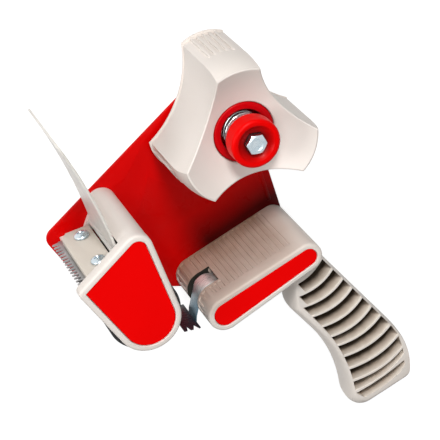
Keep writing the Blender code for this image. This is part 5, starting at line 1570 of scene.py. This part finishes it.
@dataclass
class HandleMoulding:
    """Block and ribbed grip in one moulding, with the block's inlay and the tape tongue."""

    low: Disc = (0.0365, -0.0852, 0.0090)
    high: Disc = (0.0619, -0.0430, 0.0076)
    bottom: float = 0.0018
    block_front: float = 0.0512
    border: float = 0.0031
    notch_back: float = 0.0194
    notch_front: float = 0.0342
    notch_wall: float = 0.0071
    notch_floor: float = 0.0058
    grip_root: Point = (0.0685, -0.0416)
    grip_direction: float = math.radians(-18)
    grip_back: float = 0.0195
    grip_front: float = 0.0415
    edge_height: float = 0.0106
    palm_across: float = -0.0016
    palm_straight: float = 0.0714
    palm_radius: float = 0.0396
    finger_across: float = 0.0289
    finger_straight: float = 0.0379
    finger_radius: float = 0.0911
    pockets: Sequence[tuple[float, float, float, float, float]] = (
        (0.0074, 0.0078, 0.0045, 0.0062, 0.74),
        (0.0166, 0.0074, 0.0120, 0.0069, 0.90),
        (0.0254, 0.0067, 0.0202, 0.0070, 1.0),
        (0.0335, 0.0073, 0.0285, 0.0077, 1.0),
        (0.0422, 0.0069, 0.0375, 0.0072, 1.0),
        (0.0505, 0.0069, 0.0460, 0.0058, 1.0),
        (0.0588, 0.0075, 0.0530, 0.0065, 1.0),
        (0.0678, 0.0071, 0.0608, 0.0069, 1.0),
        (0.0763, 0.0064, 0.0690, 0.0062, 1.0),
        (0.0841, 0.0028, 0.0765, 0.0048, 1.0),
    )
    butt_corners: Sequence[Point] = (
        (0.0830, 0.0378),
        (0.0859, 0.0297),
        (0.0883, 0.0205),
        (0.0894, 0.0138),
        (0.0902, 0.0078),
        (0.0928, 0.0092),
        (0.0941, 0.0143),
        (0.0934, 0.0210),
        (0.0922, 0.0277),
        (0.0890, 0.0364),
    )
    butt_middle: Point = (0.0892, 0.0230)
    flute_pitch: float = 0.0027
    pocket_depth: float = 0.0095
    tongue_thickness: float = 0.0006

    def discs(self) -> list[Disc]:
        """Discs that the block's outline wraps."""
        return [self.high, self.low]

    def top_angle(self) -> float:
        """Direction of the outward normal of the block's upper side."""
        return run_angle(self.high, self.low)

    def top_point(self, along: float, depth: float) -> Point:
        """Point along the block's upper side from its low end, below the surface by a depth."""
        normal = self.top_angle()
        start = polar(normal, self.low[2] - depth, self.low[:2])
        return polar(normal - math.pi / 2, along, start)

    def grip_point(self, along: float, across: float) -> Point:
        """Point from the grip's own directions, in the model's frame."""
        start = polar(self.grip_direction, along, plate_place(self.grip_root))
        return polar(self.grip_direction - math.pi / 2, across, start)

    @staticmethod
    def bow(along: float, straight: float, radius: float) -> float:
        """How far an edge that is straight and then curves has dropped."""
        past = max(0.0, along - straight)
        return radius - math.sqrt(radius**2 - past**2)

    def palm_edge(self, along: float) -> float:
        """Across place of the palm side."""
        return self.palm_across + self.bow(along, self.palm_straight, self.palm_radius)

    def finger_edge(self, along: float) -> float:
        """Across place of the finger side."""
        return self.finger_across + self.bow(along, self.finger_straight, self.finger_radius)

    def grip_outline(self, share: float) -> list[Point]:
        """Outline of the grip, drawn in by a share of its insets."""
        palm_inset, finger_inset, end_inset = 0.0012 * share, 0.0032 * share, 0.0036 * share
        heel_along, toe_along, root = 0.10236 - end_inset, 0.0932 - end_inset, -0.0045
        heel_radius, toe_radius = 0.0037, 0.0067
        palm_line = spread(self.palm_straight, heel_along - heel_radius, 14)
        finger_line = spread(toe_along - toe_radius, self.finger_straight, 22)
        palm = [(root, self.palm_edge(root) + palm_inset)]
        palm += [(along, self.palm_edge(along) + palm_inset) for along in palm_line]
        finger = [(along, self.finger_edge(along) - finger_inset) for along in finger_line]
        heel = (heel_along, self.palm_edge(heel_along) + palm_inset)
        toe = (toe_along, self.finger_edge(toe_along) - finger_inset)
        shoulder, throat = (0.0195, self.finger_across - finger_inset), (root, 0.0124 - finger_inset)
        flat = palm + rounded_corner(palm[-1], heel, toe, heel_radius, 8)
        flat += rounded_corner(heel, toe, finger[0], toe_radius, 10) + finger
        flat += rounded_corner(finger[-1], shoulder, throat, 0.0060, 8) + [throat]
        return [self.grip_point(along, across) for along, across in flat]

    def grip_form(self) -> Body:
        """Body of the grip, rounded to an oval section."""
        rings = []
        quarter = spread(0.0, math.pi / 2, 13)
        levels = [(self.grip_back, angle, 1) for angle in quarter]
        levels += [(self.grip_front, angle, -1) for angle in quarter[::-1]]
        for edge, angle, inward in levels:
            height = edge + self.edge_height * (1 - math.cos(angle)) * inward
            rings.append([(x, y, height) for x, y in self.grip_outline(1 - math.sin(angle))])
        return loft("grip_form", rings)

    def pocket_outline(self, index: int, inset: float) -> list[Point]:
        """Outline of one flank pocket between two bowed ribs, drawn in by an inset."""
        palm, palm_width, finger, finger_width, whole = self.pockets[index]
        ribs = ((palm + inset, finger + inset), (palm + palm_width - inset, finger + finger_width - inset))
        first_margin, last_margin, bulge = 0.0056, 0.0032, 0.0030
        margin = first_margin + (last_margin - first_margin) * index / (len(self.pockets) - 1)
        edges = []
        for palm_start, finger_start in ribs:
            past = min(1.0, max(0.0, palm_start - self.palm_straight) / 0.015)
            near = self.palm_edge(palm_start) + 0.0011 + 0.0028 * past + inset
            far = self.finger_edge(finger_start) - margin
            points = []
            for share in spread(0.0, 1.0, 13):
                reach = share * whole
                along = palm_start + (finger_start - palm_start) * reach + bulge * 4 * reach * (1 - reach)
                points.append(self.grip_point(along, near + ((far - near) * whole - inset) * share))
            edges.append(points)
        return edges[0] + edges[1][::-1]

    def butt_outline(self, inset: float) -> list[Point]:
        """Outline of the shallow pocket inside the butt's rim, drawn in by an inset."""
        middle = Vector(self.butt_middle)
        corners = [Vector(corner) for corner in self.butt_corners]
        flat = [corner + (middle - corner).normalized() * inset for corner in corners]
        return [self.grip_point(spot.x, spot.y) for spot in flat]

    def flank_tools(self, outline: Callable[[float], list[Point]], steps: Sequence[Level]) -> list[Body]:
        """Tools for one pocket on both flanks.

        Args:
            outline: gives the pocket's outline for an inset.
            steps: (inset, rise from the flank) from the mouth to the floor.

        Returns:
            The new objects.
        """
        tools = []
        for edge, outward in ((self.grip_front, 1), (self.grip_back, -1)):
            rings = [[(x, y, edge + rise * outward) for x, y in outline(inset)] for inset, rise in steps]
            tools.append(loft("pocket_tool", rings))
        return tools

    def pocket_tools(self) -> Body:
        """All flank pockets of both sides, with eased mouths and rounded floors."""
        floor = -self.pocket_depth
        steps = [(-0.0004, 0.0004), (-0.0002, 0.0), (0.0, -0.00025)]
        steps += [(0.0, floor + 0.0014), (0.0003, floor + 0.0005), (0.0010, floor)]
        tools = []
        for index in range(len(self.pockets)):
            tools += self.flank_tools(partial(self.pocket_outline, index), steps)
        return merged(tools)

    def butt_tools(self) -> Body:
        """The butt's pocket of both sides."""
        floor = 0.0008 - self.pocket_depth
        steps = [(-0.0002, 0.0006), (0.0, -0.0002), (0.0002, floor + 0.0012), (0.0008, floor)]
        return merged(self.flank_tools(self.butt_outline, steps))

    def flute_tools(self) -> Body:
        """Shallow flutes across the block's upper side and round its low end."""
        tools = []
        normal = self.top_angle()
        for index in range(17):
            place = 0.0014 + index * self.flute_pitch
            parted = place < self.notch_wall + 0.0016
            tools += self.flute(plate_place(self.top_point(place, 0.0)), normal, 0.0016, 0.00060, parted)
        for index in range(6):
            angle = normal + math.radians(20 + 24 * index)
            centre = plate_place(polar(angle, self.low[2], self.low[:2]))
            tools += self.flute(centre, angle, 0.0026, 0.00070, True)
        return merged(tools)

    def flute(self, centre: Point, normal: float, width: float, depth: float, parted: bool) -> list[Body]:
        """One flat-bottomed groove with steep sides, or the two parts that the notch leaves of it."""
        along = normal - math.pi / 2
        section = ((-width / 2 - 0.0003, 0.0005), (-width / 2, 0.0), (-width / 2 + 0.0002, -depth))
        section += ((width / 2 - 0.0002, -depth), (width / 2, 0.0), (width / 2 + 0.0003, 0.0005))
        outline = [polar(normal, rise, polar(along, reach, centre)) for reach, rise in section]
        back, front = 0.0034, 0.0430
        if not parted:
            return [prism("flute_tool", outline, back, front)]
        rim = 0.0014
        return [
            prism("flute_tool", outline, back, self.notch_back - rim),
            prism("flute_tool", outline, self.notch_front + rim, front),
        ]

    def notch_tool(self) -> Body:
        """Tool for the notch that the tongue lies in."""
        centre, normal = self.low[:2], self.top_angle()
        reach = 2 * self.low[2]
        foot = polar(normal - math.pi / 2, self.notch_wall, polar(normal, self.notch_floor, centre))
        far_side = normal + math.pi * 5 / 6
        outline = [foot, polar(normal, reach, foot), *arc(centre, reach, normal, far_side)[1:]]
        outline += arc(centre, self.notch_floor, far_side, normal)
        placed = [plate_place(point) for point in outline]
        return prism("notch_tool", placed, self.notch_back, self.notch_front)

    def make_handle(self) -> None:
        """Block and grip in one moulding."""
        front = self.block_front
        levels = eased_levels(self.bottom, front, 0.0002, 0.0014)
        levels += recess_levels(self.border, front, front - 0.0018)
        block = stepped("handle_moulding", self.discs(), levels)
        carve(block, self.grip_form(), "UNION")
        heading = math.atan2(self.high[1] - self.low[1], self.high[0] - self.low[0])
        start, wall = polar(heading, 0.0130, self.low[:2]), 0.0024
        hollow = [(*self.high[:2], self.high[2] - wall), (*start, self.low[2] - wall)]
        ceiling = front - 0.0044
        levels = [(0.0, 0.0008), (0.0, ceiling - 0.001), (0.001, ceiling)]
        carve(block, stepped("hollow_tool", hollow, levels))
        boss = disc_outline(plate_place(self.high[:2]), 0.0036)
        carve(block, prism("boss_form", boss, self.bottom, ceiling + 0.001), "UNION")
        carve(block, self.flute_tools())
        tools = [prism("eye_tool", disc_outline(self.eye(), 0.0016, 32), self.notch_back, self.notch_front)]
        tools += screw_holes([node_centre(node) for node in ("handle_screw_1", "handle_screw_2")])
        carve(block, merged(tools))
        dress(block, Look.BEIGE_GRIP)
        # The notch and the pockets are cut with finishes that paint shade on their walls and floors.
        for tool, look in (
            (self.notch_tool(), Look.NOTCH),
            (self.pocket_tools(), Look.POCKET),
            (self.butt_tools(), Look.POCKET),
        ):
            dress(tool, look)
            carve(block, tool)
        settle(block, Look.BEIGE_GRIP, "frame", "handle")

    def eye(self) -> Point:
        """Axis of the tongue's rolled eye, in the model's frame."""
        return plate_place(self.top_point(self.notch_wall + 0.0004, 0.0026))

    def tongue_line(self) -> list[Point]:
        """Centre line of the tongue, from its eye round the block's end to the foot's bend."""
        centre = plate_place(self.low[:2])
        eye = self.eye()
        points = [eye]
        for share in spread(0.0, 1.0, 13):
            angle = math.radians(126 + 42 * share)
            points.append(polar(angle, 0.0094 - 0.0008 * share, centre))
        points.append(polar(math.radians(-72.2), 0.0140, points[-1]))
        points.append(polar(math.radians(-62), 0.0034, points[-1]))
        return points

    def make_tongue(self) -> None:
        """Spring-steel tongue: rolled eye, bent strip and T-shaped foot with notches."""
        middle = (self.notch_back + self.notch_front) / 2
        back, front = middle - 0.0035, middle + 0.0070
        line = self.tongue_line()
        tongue = prism("tape_tongue_strip", strip_outline(line, self.tongue_thickness), back, front)
        carve(tongue, prism("eye_form", disc_outline(line[0], 0.0013, 32), back, front), "UNION")
        foot_heading = math.radians(-146)
        heel = polar(foot_heading, -0.0003, line[-1])
        toe = polar(foot_heading, 0.0084, line[-1])
        foot, half = strip_outline([heel, toe], self.tongue_thickness), 0.0130
        carve(tongue, prism("foot_form", foot, middle - half, middle + half), "UNION")
        for along, width in ((0.0020, 0.0036), (0.0058, 0.0022)):
            tool_rings = []
            for side in (-0.001, 0.001):
                ring = []
                for reach, rise in ((0.0, 0.0090), (width / 2, 0.0140), (-width / 2, 0.0140)):
                    place = polar(foot_heading, along + reach, line[-1])
                    ring.append((*polar(foot_heading + math.pi / 2, side, place), middle + rise))
                tool_rings.append(ring)
            carve(tongue, loft("notch_form", tool_rings))
        ease_edges(tongue, 0.00008, 2, 50.0)
        settle(tongue, Look.TONGUE, "tongue", "tape_tongue")

    def build(self) -> None:
        """Make and dress every piece of the handle."""
        self.make_handle()
        make_inlay("handle_inlay", self.discs(), self.border, self.block_front - 0.0003, "handle_insert")
        self.make_tongue()


# ---- Studio ----


@dataclass
class Studio:
    """Camera, soft lamps, pale floor and white surroundings."""

    camera_from_axis: Place = (-0.4068, 0.1309, 0.7680)
    camera_turn: tuple[float, float, float, float] = (0.9368, -0.1607, -0.2245, 0.2146)
    lens: float = 145.137
    floor_size: float = 6.0
    floor_height: float = -0.0004
    floor_glow: float = 0.86
    world_light: float = 0.12
    aim: Place = (0.0, -0.01, 0.03)
    lamps: Sequence[tuple[str, Place, float, float]] = (
        ("key_lamp", (-0.76, 0.69, 0.94), 0.28, 11.4),
        ("side_lamp", (-1.15, -0.49, 0.51), 0.50, 6.5),
        ("front_lamp", (-0.60, 0.10, 1.25), 0.60, 6.0),
    )

    def make_camera(self) -> None:
        """Camera at the photograph's place and angle."""
        data = bpy.data.cameras.new("studio_camera")
        data.sensor_width = 36.0
        data.lens = self.lens
        data.clip_start, data.clip_end = 0.02, 20.0
        camera = bpy.data.objects.new("studio_camera", data)
        bpy.context.scene.collection.objects.link(camera)
        camera.rotation_mode = "QUATERNION"
        camera.rotation_quaternion = Quaternion(self.camera_turn)
        spot = self.camera_from_axis
        camera.location = (spot[0] + AXIS[0], spot[1] + AXIS[1], spot[2])
        bpy.context.scene.camera = camera

    def seen_rays(self, tree: bpy.types.NodeTree) -> Socket:
        """One for rays that show the surroundings: camera, glossy and transmission."""
        path = tree.nodes.new("ShaderNodeLightPath")
        value = path.outputs["Is Camera Ray"]
        for other in ("Is Glossy Ray", "Is Transmission Ray"):
            node = tree.nodes.new("ShaderNodeMath")
            node.operation = "MAXIMUM"
            tree.links.new(value, node.inputs[0])
            tree.links.new(path.outputs[other], node.inputs[1])
            value = node.outputs[0]
        return value

    def make_world(self) -> None:
        """White to the eye, dimmer as light."""
        world = bpy.data.worlds.new("studio_world")
        bpy.context.scene.world = world
        world.use_nodes = True
        tree = world.node_tree
        background = tree.nodes["Background"]
        background.inputs["Color"].default_value = (1.0, 1.0, 1.0, 1.0)
        strength = tree.nodes.new("ShaderNodeMapRange")
        strength.inputs["To Min"].default_value = self.world_light
        strength.inputs["To Max"].default_value = 1.0
        tree.links.new(self.seen_rays(tree), strength.inputs["Value"])
        tree.links.new(strength.outputs["Result"], background.inputs["Strength"])

    def make_floor(self) -> None:
        """Pale floor that looks white but keeps a soft shadow."""
        release()
        bpy.ops.mesh.primitive_plane_add(size=self.floor_size, location=(0.0, 0.0, self.floor_height))
        floor = bpy.context.object
        floor.name = "studio_floor"
        material = bpy.data.materials.new("studio_paper")
        material.use_nodes = True
        tree = material.node_tree
        shader = tree.nodes["Principled BSDF"]
        shader.inputs["Base Color"].default_value = (0.35, 0.35, 0.35, 1.0)
        shader.inputs["Roughness"].default_value = 0.9
        glow = tree.nodes.new("ShaderNodeEmission")
        strength = tree.nodes.new("ShaderNodeMath")
        strength.operation = "MULTIPLY"
        strength.inputs[1].default_value = self.floor_glow
        tree.links.new(self.seen_rays(tree), strength.inputs[0])
        tree.links.new(strength.outputs[0], glow.inputs["Strength"])
        both = tree.nodes.new("ShaderNodeAddShader")
        tree.links.new(shader.outputs[0], both.inputs[0])
        tree.links.new(glow.outputs[0], both.inputs[1])
        tree.links.new(both.outputs[0], tree.nodes["Material Output"].inputs["Surface"])
        floor.data.materials.append(material)
        pick(floor)
        bpy.ops.object.transform_apply(location=True, rotation=True, scale=True)

    def make_lamp(self, name: str, place: Place, size: float, energy: float) -> None:
        """Square soft lamp that looks at the object.

        Args:
            name: the lamp's name.
            place: where it hangs.
            size: edge length.
            energy: its power in watts.
        """
        data = bpy.data.lights.new(name, "AREA")
        data.shape = "SQUARE"
        data.size = size
        data.energy = energy
        lamp = bpy.data.objects.new(name, data)
        bpy.context.scene.collection.objects.link(lamp)
        lamp.location = place
        aim = Vector(self.aim) - Vector(place)
        lamp.rotation_euler = aim.to_track_quat("-Z", "Y").to_euler()

    def build(self) -> None:
        """Set up camera, surroundings and lamps."""
        self.make_camera()
        self.make_world()
        self.make_floor()
        for lamp in self.lamps:
            self.make_lamp(*lamp)
        bpy.context.scene.view_settings.view_transform = "Standard"


def main() -> None:
    """Build the studio and every sub-assembly, logging each piece as it is made."""
    logging.basicConfig(level=logging.INFO, format="%(message)s", stream=sys.stdout)
    Studio().build()
    SidePlate().build()
    RollHub().build()
    CuttingHead().build()
    HandleMoulding().build()
    release()


if __name__ == "__main__":
    main()
